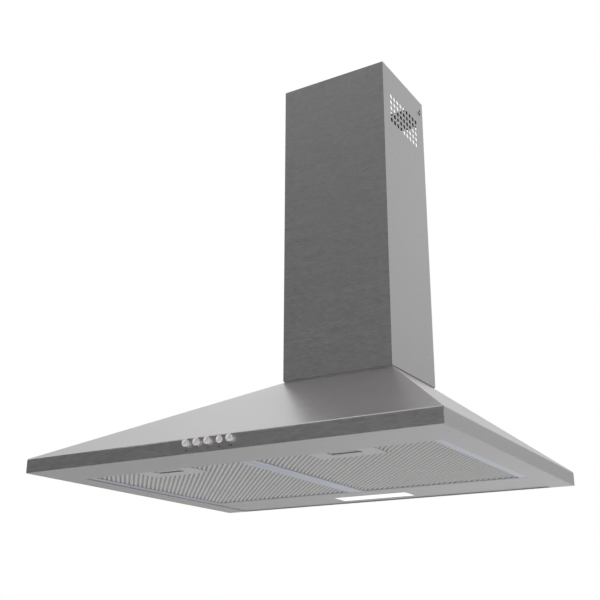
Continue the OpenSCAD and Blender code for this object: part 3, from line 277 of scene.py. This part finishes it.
# enamelled copper windings bound with lacquered tape on a laminated steel core
def motorCore():
    material, tree, shader, place = startMaterial("motorCore", {"IOR": 1.5, "Metallic": 0.4})
    turns = grains(tree, place, (30 * mm, 0.8 * mm, 0.8 * mm), 3.0)
    driveFinish(tree, shader, turns, "Fac", ("#5a3119", "#a8693c"), (0.3, 0.5), (0.3, 0.0001))
    return material


finishes = {
    "level": brushedStainless("brushedStainlessLevel", 2),
    "flat": brushedStainless("brushedStainlessFlat", 1, 2.5),
    "galvanised": galvanisedSheet(),
    "zinc": zincPlated(),
    "black": mouldedAbs("blackAbs", ("#17181a", "#242628")),
    "white": mouldedAbs("whiteAbs", ("#d9d9d4", "#e6e6e2")),
    "latch": mouldedAbs("greyAbs", ("#cdcfd1", "#dbdddf"), (0.35, 0.5)),
    "lead": mouldedAbs("whitePvc", ("#cfcfca", "#dcdcd8"), (0.3, 0.42)),
    "ink": mouldedAbs("blackInk", ("#141414", "#1d1d1d")),
    "button": silverLacquer(),
    # the chimney bracket's coat: black, and partly painted shade for the dark seen through the vents
    "powderAndShade": blackCoatAndShade(),
    "aluminium": rolledAluminium(),
    "mesh": expandedAluminium(),
    "lens": opalLens(),
    "core": motorCore(),
}
slotFinish = {
    "stainless": "level", "galvanised": "galvanised", "bracket_paint": "powderAndShade", "screw_steel": "zinc",
    "black_plastic": "black",
    "motor_core": "core", "white_plastic": "white", "lead_sleeve": "lead", "opal_lens": "lens",
    "button_plastic": "button", "filter_aluminium": "aluminium", "latch_plastic": "latch",
}
print("materials made:", len(finishes))

for entry in frame["record"]["subparts"]:
    for slot in nodes[entry["node"]].material_slots:
        slot.material = finishes[slotFinish[entry["material_slot"]]]


# a row of edges pulled on to a next row, each new corner placed by a function
def foldOn(form, edges, place):
    made = bmesh.ops.extrude_edge_only(form, edges=edges)["geom"]
    fresh = set(g for g in made if isinstance(g, bmesh.types.BMVert))
    for corner in fresh:
        corner.co = place(corner.co)
    return [g for g in made if isinstance(g, bmesh.types.BMEdge) and all(v in fresh for v in g.verts)]


def startRow(form, corners, closed=False):
    verts = [form.verts.new(c) for c in corners]
    pairs = list(zip(verts, verts[1:] + verts[:1])) if closed else list(zip(verts, verts[1:]))
    return [form.edges.new(p) for p in pairs]


# an upright corner or a hip, where a front face meets a side face
def isCorner(edge):
    return len(set(abs(f.normal.x) > abs(f.normal.y) for f in edge.link_faces)) == 2


bending = {
    "leastAngle": 0.1,
    "steps": 5,
}


# sheet metal bends with a small radius, which is what catches the light along a fold
def roundFolds(form, radius, keep=lambda edge: True):
    folds = [e for e in form.edges
             if len(e.link_faces) == 2 and e.calc_face_angle() > bending["leastAngle"] and keep(e)]
    bend = bmesh.ops.bevel(form, geom=folds, offset=radius, offset_type="OFFSET", affect="EDGES",
                           segments=bending["steps"], profile=0.5, material=-1, clamp_overlap=True)
    for face in bend["faces"]:
        face.smooth = True


# the normals point away from a spot inside the piece
def faceOut(form, inside):
    bmesh.ops.recalc_face_normals(form, faces=form.faces)
    largest = max(form.faces, key=lambda f: f.calc_area())
    if largest.normal.dot(largest.calc_center_median() - Vector(inside)) < 0:
        bmesh.ops.reverse_faces(form, faces=form.faces)


# u runs along the brushing: across the front and the underside, and from front to back on the sides
def layGrain(mesh):
    layer = mesh.uv_layers.new(name="grain")
    for face in mesh.polygons:
        onSide = abs(face.normal.x) > abs(face.normal.y) and abs(face.normal.z) < 0.95
        for loop in face.loop_indices:
            spot = mesh.vertices[mesh.loops[loop].vertex_index].co
            layer.data[loop].uv = (spot.y, spot.z) if onSide else (spot.x, spot.y + spot.z)


def makePiece(name, form, finish):
    mesh = bpy.data.meshes.new(name)
    form.to_mesh(mesh)
    form.free()
    mesh.materials.append(finishes[finish])
    piece = bpy.data.objects.new(name, mesh)
    bpy.context.scene.collection.objects.link(piece)
    return piece


# the given thickness goes inwards from the outer skin
def thicken(piece, thickness):
    wall = piece.modifiers.new("wall", "SOLIDIFY")
    wall.thickness = thickness
    wall.offset = -1
    wall.use_even_offset = True


# the modifiers become plain geometry
def settle(piece):
    bpy.context.view_layer.update()
    whole = piece.evaluated_get(bpy.context.evaluated_depsgraph_get())
    finished = bpy.data.meshes.new_from_object(whole)
    piece.modifiers.clear()
    piece.data = finished


# holes are cut by one tool that is thrown away
def cutWith(piece, form):
    tool = makePiece("tool", form, "black")
    hole = piece.modifiers.new("holes", "BOOLEAN")
    hole.operation = "DIFFERENCE"
    hole.solver = "EXACT"
    hole.object = tool
    settle(piece)
    bpy.data.objects.remove(tool)


def addRod(form, start, end, radius, sides=24):
    way = Vector(end) - Vector(start)
    turn = way.to_track_quat("Z", "Y").to_matrix().to_4x4()
    place = Matrix.Translation((Vector(start) + Vector(end)) / 2) @ turn
    bmesh.ops.create_cone(form, cap_ends=True, segments=sides, radius1=radius, radius2=radius, depth=way.length,
                          matrix=place)


def addBlock(form, low, high):
    low, high = Vector(low), Vector(high)
    size = high - low
    place = Matrix.Translation((low + high) / 2) @ Matrix.Diagonal((size.x, size.y, size.z, 1))
    bmesh.ops.create_cube(form, size=1, matrix=place)


def mergeDoubles(form):
    bmesh.ops.remove_doubles(form, verts=form.verts, dist=0.001 * mm)


def cutAlong(form, planes, trim=False):
    for spot, normal in planes:
        bmesh.ops.bisect_plane(form, geom=form.verts[:] + form.edges[:] + form.faces[:], plane_co=spot,
                               plane_no=normal, clear_outer=trim)


# a CAD piece taken over as it is, with its doubled corners merged and the grain laid on
def takeOver(name, node, finish, body, slot):
    form = bmesh.new()
    form.from_mesh(nodes[node].data)
    mergeDoubles(form)
    bmesh.ops.dissolve_limit(form, angle_limit=0.01, verts=form.verts, edges=form.edges)
    piece = makePiece(name, form, finish)
    layGrain(piece.data)
    finishUp(piece, body, slot, node)


def finishUp(piece, body, slot, *replaced):
    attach(piece, body)
    if replaced:
        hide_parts(*replaced)


# canopy: band and pyramid bent from one blank, welded at the hips and ground smooth
canopyLow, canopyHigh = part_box("canopy_shell")
chimneyLow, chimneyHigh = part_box("chimney_cover")
canopy = {
    "sheet": 0.8 * mm,
    "band": 19 * mm,
    "bend": 1.7 * mm,
    "corner": 0.5 * mm,
    "shadowLine": 0.8 * mm,
    "rim": 9 * mm,
    "sleeve": 0.5 * mm,
    "inside": (0, -0.1, -0.2),
}
buttons = {
    "count": 5,
    "pitch": 16 * mm,
    "height": 13 * mm,
    "hole": 5.1 * mm,
}


def buttonX(index):
    return (index - (buttons["count"] - 1) / 2) * buttons["pitch"]


def makeCanopy():
    form = bmesh.new()
    x, y = canopyHigh.x, canopyLow.y
    row = startRow(form, [(-x, 0, 0), (-x, y, 0), (x, y, 0), (x, 0, 0)])
    row = foldOn(form, row, lambda c: c + Vector((0, 0, canopy["band"])))
    rimZ = chimneyLow.z - canopy["shadowLine"]
    climb = (rimZ - canopy["band"]) / (chimneyLow.z - canopy["band"])
    topX = x + (chimneyHigh.x - x) * climb
    topY = y + (chimneyLow.y - y) * climb
    row = foldOn(form, row, lambda c: Vector((math.copysign(topX, c.x), topY if c.y < 0 else 0, rimZ)))
    padX = chimneyHigh.x - canopy["sheet"]
    padY = chimneyLow.y + canopy["sheet"]
    row = foldOn(form, row, lambda c: Vector((math.copysign(padX, c.x), padY if c.y < 0 else 0, rimZ)))
    row = foldOn(form, row, lambda c: Vector((c.x, c.y, chimneyLow.z)))
    openX = padX - canopy["rim"] - canopy["sleeve"]
    openY = padY + canopy["rim"] + canopy["sleeve"]
    foldOn(form, row, lambda c: Vector((math.copysign(openX, c.x), openY if c.y < 0 else 0, chimneyLow.z)))
    roundFolds(form, canopy["bend"], lambda e: all(abs(v.co.z - canopy["band"]) < 0.01 * mm for v in e.verts))
    roundFolds(form, canopy["corner"], lambda e: isCorner(e) and min(v.co.z for v in e.verts) < rimZ - mm)
    faceOut(form, canopy["inside"])
    skin = makePiece("canopySkin", form, "level")
    layGrain(skin.data)
    thicken(skin, canopy["sheet"])
    drill = bmesh.new()
    for index in range(buttons["count"]):
        addRod(drill, (buttonX(index), y - mm, buttons["height"]), (buttonX(index), y + 3 * mm, buttons["height"]),
               buttons["hole"], 48)
    cutWith(skin, drill)
    finishUp(skin, "hood", "stainless", "canopy_shell")


makeCanopy()
takeOver("canopyCollar", "canopy_collar", "level", "hood", "stainless")
print("canopy made")

# chimney: one sheet with four bends and punched vents
chimney = {
    "sheet": 0.8 * mm,
    "bend": 1.0 * mm,
    "backFold": 12 * mm,
    "foldDrop": 50 * mm,
    "footGap": 2.4 * mm,   # the dark line between the chimney and the canopy
    "ventRadius": 4.2 * mm,
    "ventPitchY": 12.1 * mm,
    "ventPitchZ": 11.1 * mm,
    "ventColumns": 9,
    "ventRows": 5,
    "ventY": -79.3 * mm,
    "ventDrop": 73.4 * mm,
    "slotRadius": 1.8 * mm,
    "slotHeight": 13 * mm,
    "slotY": -12 * mm,
    "slotDrop": 22.5 * mm,
    "inside": (0, -0.08, 0.4),
}


def makeChimney():
    form = bmesh.new()
    x, y, foot = chimneyHigh.x, chimneyLow.y, chimneyLow.z + chimney["footGap"]
    inner = x - chimney["backFold"]
    outline = ((-inner, 0), (-x, 0), (-x, y), (x, y), (x, 0), (inner, 0))
    row = startRow(form, [(across, back, foot) for across, back in outline])
    foldOn(form, row, lambda c: Vector((c.x, c.y, chimneyHigh.z)))
    roundFolds(form, chimney["bend"])
    faceOut(form, chimney["inside"])
    cover = makePiece("chimneySkin", form, "level")
    layGrain(cover.data)
    thicken(cover, chimney["sheet"])
    punch = bmesh.new()
    reach = x + 2 * mm
    middleZ = chimneyHigh.z - chimney["ventDrop"]
    for column in range(chimney["ventColumns"]):
        for line in range(chimney["ventRows"]):
            ventY = chimney["ventY"] + (column - (chimney["ventColumns"] - 1) / 2) * chimney["ventPitchY"]
            ventZ = middleZ + (line - (chimney["ventRows"] - 1) / 2) * chimney["ventPitchZ"]
            addRod(punch, (-reach, ventY, ventZ), (reach, ventY, ventZ), chimney["ventRadius"])
    for near, far in ((-inner + mm, -x + chimney["sheet"]), (x - chimney["sheet"], inner - mm)):
        addBlock(punch, (min(near, far), -mm, chimneyHigh.z - chimney["foldDrop"]),
                 (max(near, far), mm, chimneyHigh.z + mm))
    cutWith(cover, punch)
    slotZ = chimneyHigh.z - chimney["slotDrop"]
    half = chimney["slotHeight"] / 2 - chimney["slotRadius"]
    punch = bmesh.new()
    addBlock(punch, (-reach, chimney["slotY"] - chimney["slotRadius"], slotZ - half),
             (reach, chimney["slotY"] + chimney["slotRadius"], slotZ + half))
    cutWith(cover, punch)
    for side in (-half, half):
        punch = bmesh.new()
        addRod(punch, (-reach, chimney["slotY"], slotZ + side), (reach, chimney["slotY"], slotZ + side),
               chimney["slotRadius"])
        cutWith(cover, punch)
    finishUp(cover, "hood", "stainless", "chimney_cover")


makeChimney()
print("chimney made")

# underside: margin sheet with its edges folded up and a hem in front of the filters
undersideLow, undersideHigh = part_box("underside_frame")
underside = {
    "sheet": 0.8 * mm,
    "bend": 0.3 * mm,
    "outerBend": 1.4 * mm,
    "opening": (265 * mm, -395 * mm),
    "flange": 6 * mm,
    "hem": 10 * mm,
    "sideLip": 12 * mm,
    "fit": 0.05 * mm,
    "inside": (0, -0.43, 0.1),
}


def makeUnderside():
    form = bmesh.new()
    x, front, rear = undersideHigh.x, undersideLow.y, undersideHigh.y
    openX, openY = underside["opening"]
    outer = startRow(form, [(-x, rear, 0), (-x, front, 0), (x, front, 0), (x, rear, 0)])
    inner = foldOn(form, outer, lambda c: Vector((math.copysign(openX, c.x),
                                                  openY if c.y < rear - mm else rear, 0)))
    foldOn(form, outer, lambda c: c + Vector((0, 0, underside["flange"])))
    lips = [e for e in inner if abs(e.verts[0].co.x - e.verts[1].co.x) < mm]
    hem = [e for e in inner if e not in lips]
    foldOn(form, lips, lambda c: c + Vector((0, 0, underside["sideLip"])))
    hem = foldOn(form, hem, lambda c: c + Vector((0, 0, 2 * underside["sheet"])))
    foldOn(form, hem, lambda c: c - Vector((0, underside["hem"], 0)))
    roundFolds(form, underside["outerBend"], lambda e: max(abs(v.co.x) for v in e.verts) > openX + mm)
    roundFolds(form, underside["bend"], lambda e: max(abs(v.co.x) for v in e.verts) < openX + mm)
    faceOut(form, underside["inside"])
    margin = makePiece("undersideMargin", form, "flat")
    layGrain(margin.data)
    thicken(margin, underside["sheet"] - underside["fit"])
    settle(margin)
    finishUp(margin, "hood", "stainless", "underside_frame")


makeUnderside()
takeOver("lampStrip", "lamp_panel", "flat", "hood", "stainless")
print("underside made")

# filters: a channel of aluminium strip round two ribbed sheets of expanded mesh
filters = {
    "skin": 0.8 * mm,
    "bend": 0.9 * mm,
    "depth": 298.8 * mm,
    "sideRail": 12 * mm,
    "endRail": 3 * mm,
    "tongueWidth": 40 * mm,
    "tongueShare": 0.3,
    "tongueLift": 1.1 * mm,
    "boltHalf": 6.9 * mm,
    "boltRise": (4.7 * mm, 6.7 * mm),
    "ribPitch": 6.2 * mm,
    "ribHeight": 2.2 * mm,
    "meshSheet": 0.6 * mm,
    "crimp": 6 * mm,
    "crimpSteps": 3,
    "ribSteps": 12,
    "ribSharpness": 1.4,
    "ribTurn": 41,
    "latchFit": 0.1 * mm,
}


def makeFilter(side):
    name = side.capitalize()
    low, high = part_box("filter_frame_" + side)
    rear = low.y + filters["depth"]
    middle = (low.x + high.x) / 2
    middleY = (low.y + rear) / 2
    form = bmesh.new()
    corners = ((low.x, low.y), (high.x, low.y), (high.x, rear), (low.x, rear))
    outer = startRow(form, [(across, back, low.z) for across, back in corners], True)
    window = (high.x - low.x) / 2 - filters["sideRail"]
    windowY = (low.y + filters["endRail"], rear - filters["endRail"])

    def inward(c):
        return Vector((middle + math.copysign(window, c.x - middle), windowY[0 if c.y < middleY else 1], c.z))

    foldOn(form, outer, inward)
    upper = foldOn(form, outer, lambda c: Vector((c.x, c.y, high.z)))
    foldOn(form, upper, inward)
    roundFolds(form, filters["bend"])
    faceOut(form, (middle, middleY, (low.z + high.z) / 2))
    rail = makePiece("filterChannel" + name, form, "aluminium")
    thicken(rail, filters["skin"])
    slot = bmesh.new()
    addBlock(slot, (middle - filters["boltHalf"], low.y - mm, low.z + filters["boltRise"][0]),
             (middle + filters["boltHalf"], low.y + 2 * mm, low.z + filters["boltRise"][1]))
    cutWith(rail, slot)
    finishUp(rail, "filter_" + side, "filter_aluminium", "filter_frame_" + side)
    form = bmesh.new()
    for way in (-1, 1):
        start = middle + way * filters["tongueShare"] * (high.x - low.x) - filters["tongueWidth"] / 2
        addBlock(form, (start, rear - filters["skin"] / 2, low.z + filters["tongueLift"]),
                 (start + filters["tongueWidth"], high.y, low.z + filters["tongueLift"] + filters["skin"]))
    tongues = makePiece("filterTongues" + name, form, "aluminium")
    finishUp(tongues, "filter_" + side, "filter_aluminium")
    latchLow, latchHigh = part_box("latch_housing_" + side)
    meshLow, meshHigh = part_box("filter_mesh_" + side)
    frameInside = (Vector((middle - window, windowY[0], 0)), Vector((middle + window, windowY[1], 0)))
    upperFoot = meshHigh.z - filters["ribHeight"] - filters["meshSheet"]
    for layer, turn, foot, grip in (("Lower", filters["ribTurn"], meshLow.z, meshLow.z),
                                    ("Upper", -filters["ribTurn"], upperFoot, upperFoot + filters["ribHeight"])):
        sheet = makeMesh("filterMesh" + name + layer, turn, foot, meshLow, meshHigh, latchLow, latchHigh)
        pressEdges(sheet, frameInside, (latchLow.x, latchHigh.x, latchHigh.y), grip)
        replaced = ["filter_mesh_" + side] if layer == "Lower" else []
        finishUp(sheet, "filter_" + side, "filter_aluminium", *replaced)


# one wavy line pulled out along the ribs, turned, and trimmed to the channel and round the latch
def makeMesh(name, turn, foot, low, high, latchLow, latchHigh):
    form = bmesh.new()
    reach = math.hypot(high.x - low.x, high.y - low.y)
    steps = math.ceil(reach / filters["ribPitch"]) * filters["ribSteps"]
    line = []
    for step in range(steps + 1):
        along = step / filters["ribSteps"]
        rise = (0.5 - 0.5 * math.cos(2 * math.pi * along)) ** filters["ribSharpness"]
        line.append((along * filters["ribPitch"], 0, filters["ribHeight"] * rise))
    row = startRow(form, line)
    foldOn(form, row, lambda c: c + Vector((0, reach, 0)))
    strands = form.loops.layers.uv.new("strands")
    for face in form.faces:
        face.smooth = True
        for loop in face.loops:
            loop[strands].uv = loop.vert.co.xy
    middle = Vector(((low.x + high.x) / 2, (low.y + high.y) / 2, foot))
    bmesh.ops.translate(form, verts=form.verts, vec=(-reach / 2, -reach / 2, 0))
    bmesh.ops.rotate(form, verts=form.verts, cent=(0, 0, 0), matrix=Matrix.Rotation(math.radians(turn), 3, "Z"))
    bmesh.ops.translate(form, verts=form.verts, vec=middle)
    cutAlong(form, ((low, (-1, 0, 0)), (high, (1, 0, 0)), (low, (0, -1, 0)), (high, (0, 1, 0))), True)
    left = latchLow.x - filters["latchFit"]
    right = latchHigh.x + filters["latchFit"]
    back = latchHigh.y + filters["latchFit"]
    cutAlong(form, (((left, 0, 0), (1, 0, 0)), ((right, 0, 0), (1, 0, 0)), ((0, back, 0), (0, 1, 0))))
    taken = [f for f in form.faces if left < f.calc_center_median().x < right and f.calc_center_median().y < back]
    bmesh.ops.delete(form, geom=taken, context="FACES")
    bmesh.ops.recalc_face_normals(form, faces=form.faces)
    if sum(f.normal.z for f in form.faces) > 0:
        bmesh.ops.reverse_faces(form, faces=form.faces)
    return makePiece(name, form, "mesh")


# the ribs are pressed flat towards the channel and the latch that grip the mesh
def pressEdges(sheet, inside, latch, grip):
    form = bmesh.new()
    form.from_mesh(sheet.data)
    low, high = inside
    left, right, back = latch
    for step in range(filters["crimpSteps"] + 1):
        inset = filters["crimp"] * step / filters["crimpSteps"]
        cutAlong(form, [((x, 0, 0), (1, 0, 0)) for x in (low.x + inset, high.x - inset)])
        cutAlong(form, [((0, y, 0), (0, 1, 0)) for y in (low.y + inset, high.y - inset)])
        cutAlong(form, [((x, 0, 0), (1, 0, 0)) for x in (left - inset, right + inset)])
        cutAlong(form, [((0, back + inset, 0), (0, 1, 0))])
    for corner in form.verts:
        spot = corner.co
        fromFrame = min(spot.x - low.x, high.x - spot.x, spot.y - low.y, high.y - spot.y)
        fromLatch = max(left - spot.x, spot.x - right, spot.y - back)
        share = min(max(min(fromFrame, fromLatch) / filters["crimp"], 0), 1)
        spot.z = grip + (spot.z - grip) * share * share * (3 - 2 * share)
    form.to_mesh(sheet.data)
    form.free()
    thicken(sheet, filters["meshSheet"])
    settle(sheet)


for side in ("left", "right"):
    makeFilter(side)
print("filters made")

# push buttons: a dished face in a rounded rim, and a stem behind
push = {
    "radius": 4.75 * mm,
    "dish": 1.3 * mm,
    "rim": 0.7 * mm,
    "length": 9.2 * mm,
    "stem": (2 * mm, 8 * mm),
    "steps": 8,
    "turns": 48,
}


def makeButton(index):
    low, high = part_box("button_" + str(index + 1))
    form = bmesh.new()
    face = push["radius"] - push["rim"]
    outline = []
    for step in range(push["steps"] + 1):
        across = step / push["steps"]
        outline.append((face * across, push["dish"] * (1 - across ** 2)))
    for step in range(1, push["steps"] + 1):
        turn = step / push["steps"] * math.pi / 2
        outline.append((face + push["rim"] * math.sin(turn), push["rim"] * (1 - math.cos(turn))))
    stem, reach = push["stem"]
    outline += [(push["radius"], push["length"]), (stem, push["length"]), (stem, push["length"] + reach),
                (0, push["length"] + reach)]
    row = startRow(form, [(buttonX(index) + out, low.y + back, buttons["height"]) for out, back in outline])
    bmesh.ops.spin(form, geom=form.verts[:] + row, cent=(buttonX(index), 0, buttons["height"]), axis=(0, 1, 0),
                   angle=2 * math.pi, steps=push["turns"], use_merge=True)
    mergeDoubles(form)
    bmesh.ops.recalc_face_normals(form, faces=form.faces)
    for patch in form.faces:
        patch.smooth = patch.calc_center_median().y < low.y + push["dish"] + push["rim"]
    cap = makePiece("pushButton" + str(index + 1), form, "button")
    finishUp(cap, "button_" + str(index + 1) + "_body", "button_plastic", "button_" + str(index + 1))


for index in range(buttons["count"]):
    makeButton(index)
print("buttons made")

# marks printed under the buttons: a shining lamp, a bar and one to three dots
marks = {
    "height": 4.3 * mm,
    "proud": 0.04 * mm,
    "dot": 0.75 * mm,
    "dotPitch": 2.0 * mm,
    "lamp": (0.8 * mm, 1.15 * mm),
    "foot": (1.2 * mm, 0.35 * mm),
    "ray": (0.9 * mm, 0.35 * mm),
    "rayGap": 1.0 * mm,
    "bar": (0.4 * mm, 1.7 * mm),
    "dotSides": 20,
    "lampSides": 24,
}


def makeMarks():
    form = bmesh.new()
    face = canopyLow.y
    z = marks["height"]

    def dot(x, radius):
        addRod(form, (x, face + marks["proud"], z), (x, face - marks["proud"], z), radius, marks["dotSides"])

    def bar(x, width, height, lift=0):
        addBlock(form, (x - width / 2, face - marks["proud"], z + lift - height / 2),
                 (x + width / 2, face + marks["proud"], z + lift + height / 2))

    inside, outside = marks["lamp"]
    proud = marks["proud"]
    section = ((inside, -proud), (outside, -proud), (outside, proud), (inside, proud))
    line = startRow(form, [(buttonX(0) + r, face + y, z) for r, y in section], True)
    ring = [v for e in line for v in e.verts]
    bmesh.ops.spin(form, geom=list(set(ring)) + line, cent=(buttonX(0), face, z), axis=(0, 1, 0),
                   angle=2 * math.pi, steps=marks["lampSides"], use_merge=True)
    mergeDoubles(form)
    bar(buttonX(0), *marks["foot"], lift=-outside - marks["foot"][1])
    for way in (-1, 1):
        bar(buttonX(0) + way * (outside + marks["rayGap"]), *marks["ray"])
    bar(buttonX(1), *marks["bar"])
    for index, count in ((2, 1), (3, 2), (4, 3)):
        for number in range(count):
            dot(buttonX(index) + (number - (count - 1) / 2) * marks["dotPitch"], marks["dot"])
    bmesh.ops.recalc_face_normals(form, faces=form.faces)
    printed = makePiece("buttonMarks", form, "ink")
    finishUp(printed, "hood", "black_plastic")


makeMarks()
print("marks made")

# plain studio: a pale floor and a dim room with soft round openings, each a brightness and the way to it;
# the first three are the main lamps, and the others bring the greys near those of the photograph
studio = {
    "floorZ": -1.5,
    "floorSize": 6.0,
    "floorColour": "#e6e6e4",
    "floorGrain": 0.3,
    "floorRough": (0.75, 0.85),
    "floorBump": (0.02, 0.1 * mm),
    "room": 0.12,
    "narrowness": 10.0,
    "openings": (
        (1.2, (-0.5, -0.1, 0.86)),
        (1.6, (0.1, -0.6, -0.79)),
        (3.0, (0.5, -0.78, -0.38)),
        (1.419, (-0.78, 0.12, -0.62)),
        (1.259, (-0.36, 0.83, 0.42)),
        (0.961, (-0.41, 0.23, -0.88)),
        (0.911, (0.06, 0.83, -0.55)),
        (0.66, (0.24, 0.53, -0.82)),
        (0.621, (-0.33, 0.61, -0.72)),
        (0.561, (0.12, 0.8, 0.58)),
        (0.401, (-0.83, 0.21, 0.52)),
        (0.376, (0.46, 0.83, 0.32)),
        (0.265, (-0.03, 0.18, -0.98)),
        (0.127, (0.39, 0.09, -0.92)),
        (0.115, (0.62, -0.22, -0.75)),
        (0.113, (0.46, -0.7, 0.55)),
        (0.093, (0.88, 0.01, -0.48)),
        (0.091, (0.98, -0.2, -0.05)),
        (0.076, (0.81, -0.5, -0.32)),
        (0.044, (0.01, -0.7, 0.72)),
        (0.03, (0.84, -0.37, 0.38)),
    ),
}


def makeStudio():
    world = bpy.data.worlds.new("studio")
    world.use_nodes = True
    bpy.context.scene.world = world
    tree = world.node_tree
    tree.nodes.clear()
    place = addNode(tree, "ShaderNodeTexCoord")
    total = None
    for level, way in studio["openings"]:
        pull = tuple(c * studio["narrowness"] for c in way)
        facing = addNode(tree, "ShaderNodeVectorMath", {"operation": "DOT_PRODUCT", 1: pull},
                         {0: (place, "Generated")})
        fade = addNode(tree, "ShaderNodeMath", {"operation": "ADD", 1: math.log(level) - studio["narrowness"]},
                       {0: (facing, "Value")})
        glow = addNode(tree, "ShaderNodeMath", {"operation": "EXPONENT"}, {0: (fade, 0)})
        if total:
            total = addNode(tree, "ShaderNodeMath", {"operation": "ADD"}, {0: (glow, 0), 1: (total, 0)})
        else:
            total = glow
    ray = addNode(tree, "ShaderNodeLightPath")
    # camera and glass see the whole white background, and metal sees it through the openings
    mirrored = addNode(tree, "ShaderNodeMath", {"operation": "MULTIPLY"},
                       {0: (ray, "Is Glossy Ray"), 1: (total, 0)})
    direct = addNode(tree, "ShaderNodeMath", {"operation": "ADD"},
                     {0: (ray, "Is Camera Ray"), 1: (ray, "Is Transmission Ray")})
    seen = addNode(tree, "ShaderNodeMath", {"operation": "ADD", "use_clamp": True},
                   {0: (direct, 0), 1: (mirrored, 0)})
    soft = addNode(tree, "ShaderNodeMath", {"operation": "SUBTRACT"}, {0: (total, 0), 1: (mirrored, 0)})
    level = addNode(tree, "ShaderNodeMath", {"operation": "ADD", 1: studio["room"]}, {0: (soft, 0)})
    lit = addNode(tree, "ShaderNodeBackground", {"Color": (1, 1, 1, 1)}, {"Strength": (level, 0)})
    white = addNode(tree, "ShaderNodeBackground", {"Color": (1, 1, 1, 1), "Strength": 1.0})
    both = addNode(tree, "ShaderNodeMixShader",
                   links={0: (seen, 0), 1: (lit, "Background"), 2: (white, "Background")})
    addNode(tree, "ShaderNodeOutputWorld", links={"Surface": (both, "Shader")})


def makeFloor():
    form = bmesh.new()
    bmesh.ops.create_grid(form, x_segments=1, y_segments=1, size=studio["floorSize"] / 2,
                          matrix=Matrix.Translation((0, 0, studio["floorZ"])))
    mesh = bpy.data.meshes.new("floor")
    form.to_mesh(mesh)
    form.free()
    floor = bpy.data.objects.new("floor", mesh)
    bpy.context.scene.collection.objects.link(floor)
    material, tree, shader, place = startMaterial("paleFloor", {"Specular IOR Level": 0.2})
    paint = grains(tree, place, [studio["floorGrain"]] * 3, 3.0)
    driveFinish(tree, shader, paint, "Fac", [studio["floorColour"]] * 2, studio["floorRough"], studio["floorBump"])
    # a camera below the floor looks through it
    facing = addNode(tree, "ShaderNodeNewGeometry")
    clear = addNode(tree, "ShaderNodeBsdfTransparent")
    oneSided = addNode(tree, "ShaderNodeMixShader",
                       links={0: (facing, "Backfacing"), 1: (shader, "BSDF"), 2: (clear, "BSDF")})
    tree.links.new(oneSided.outputs["Shader"], tree.nodes["Material Output"].inputs["Surface"])
    mesh.materials.append(material)


makeStudio()
makeFloor()
bpy.context.scene.view_settings.view_transform = "Standard"
print("studio made")
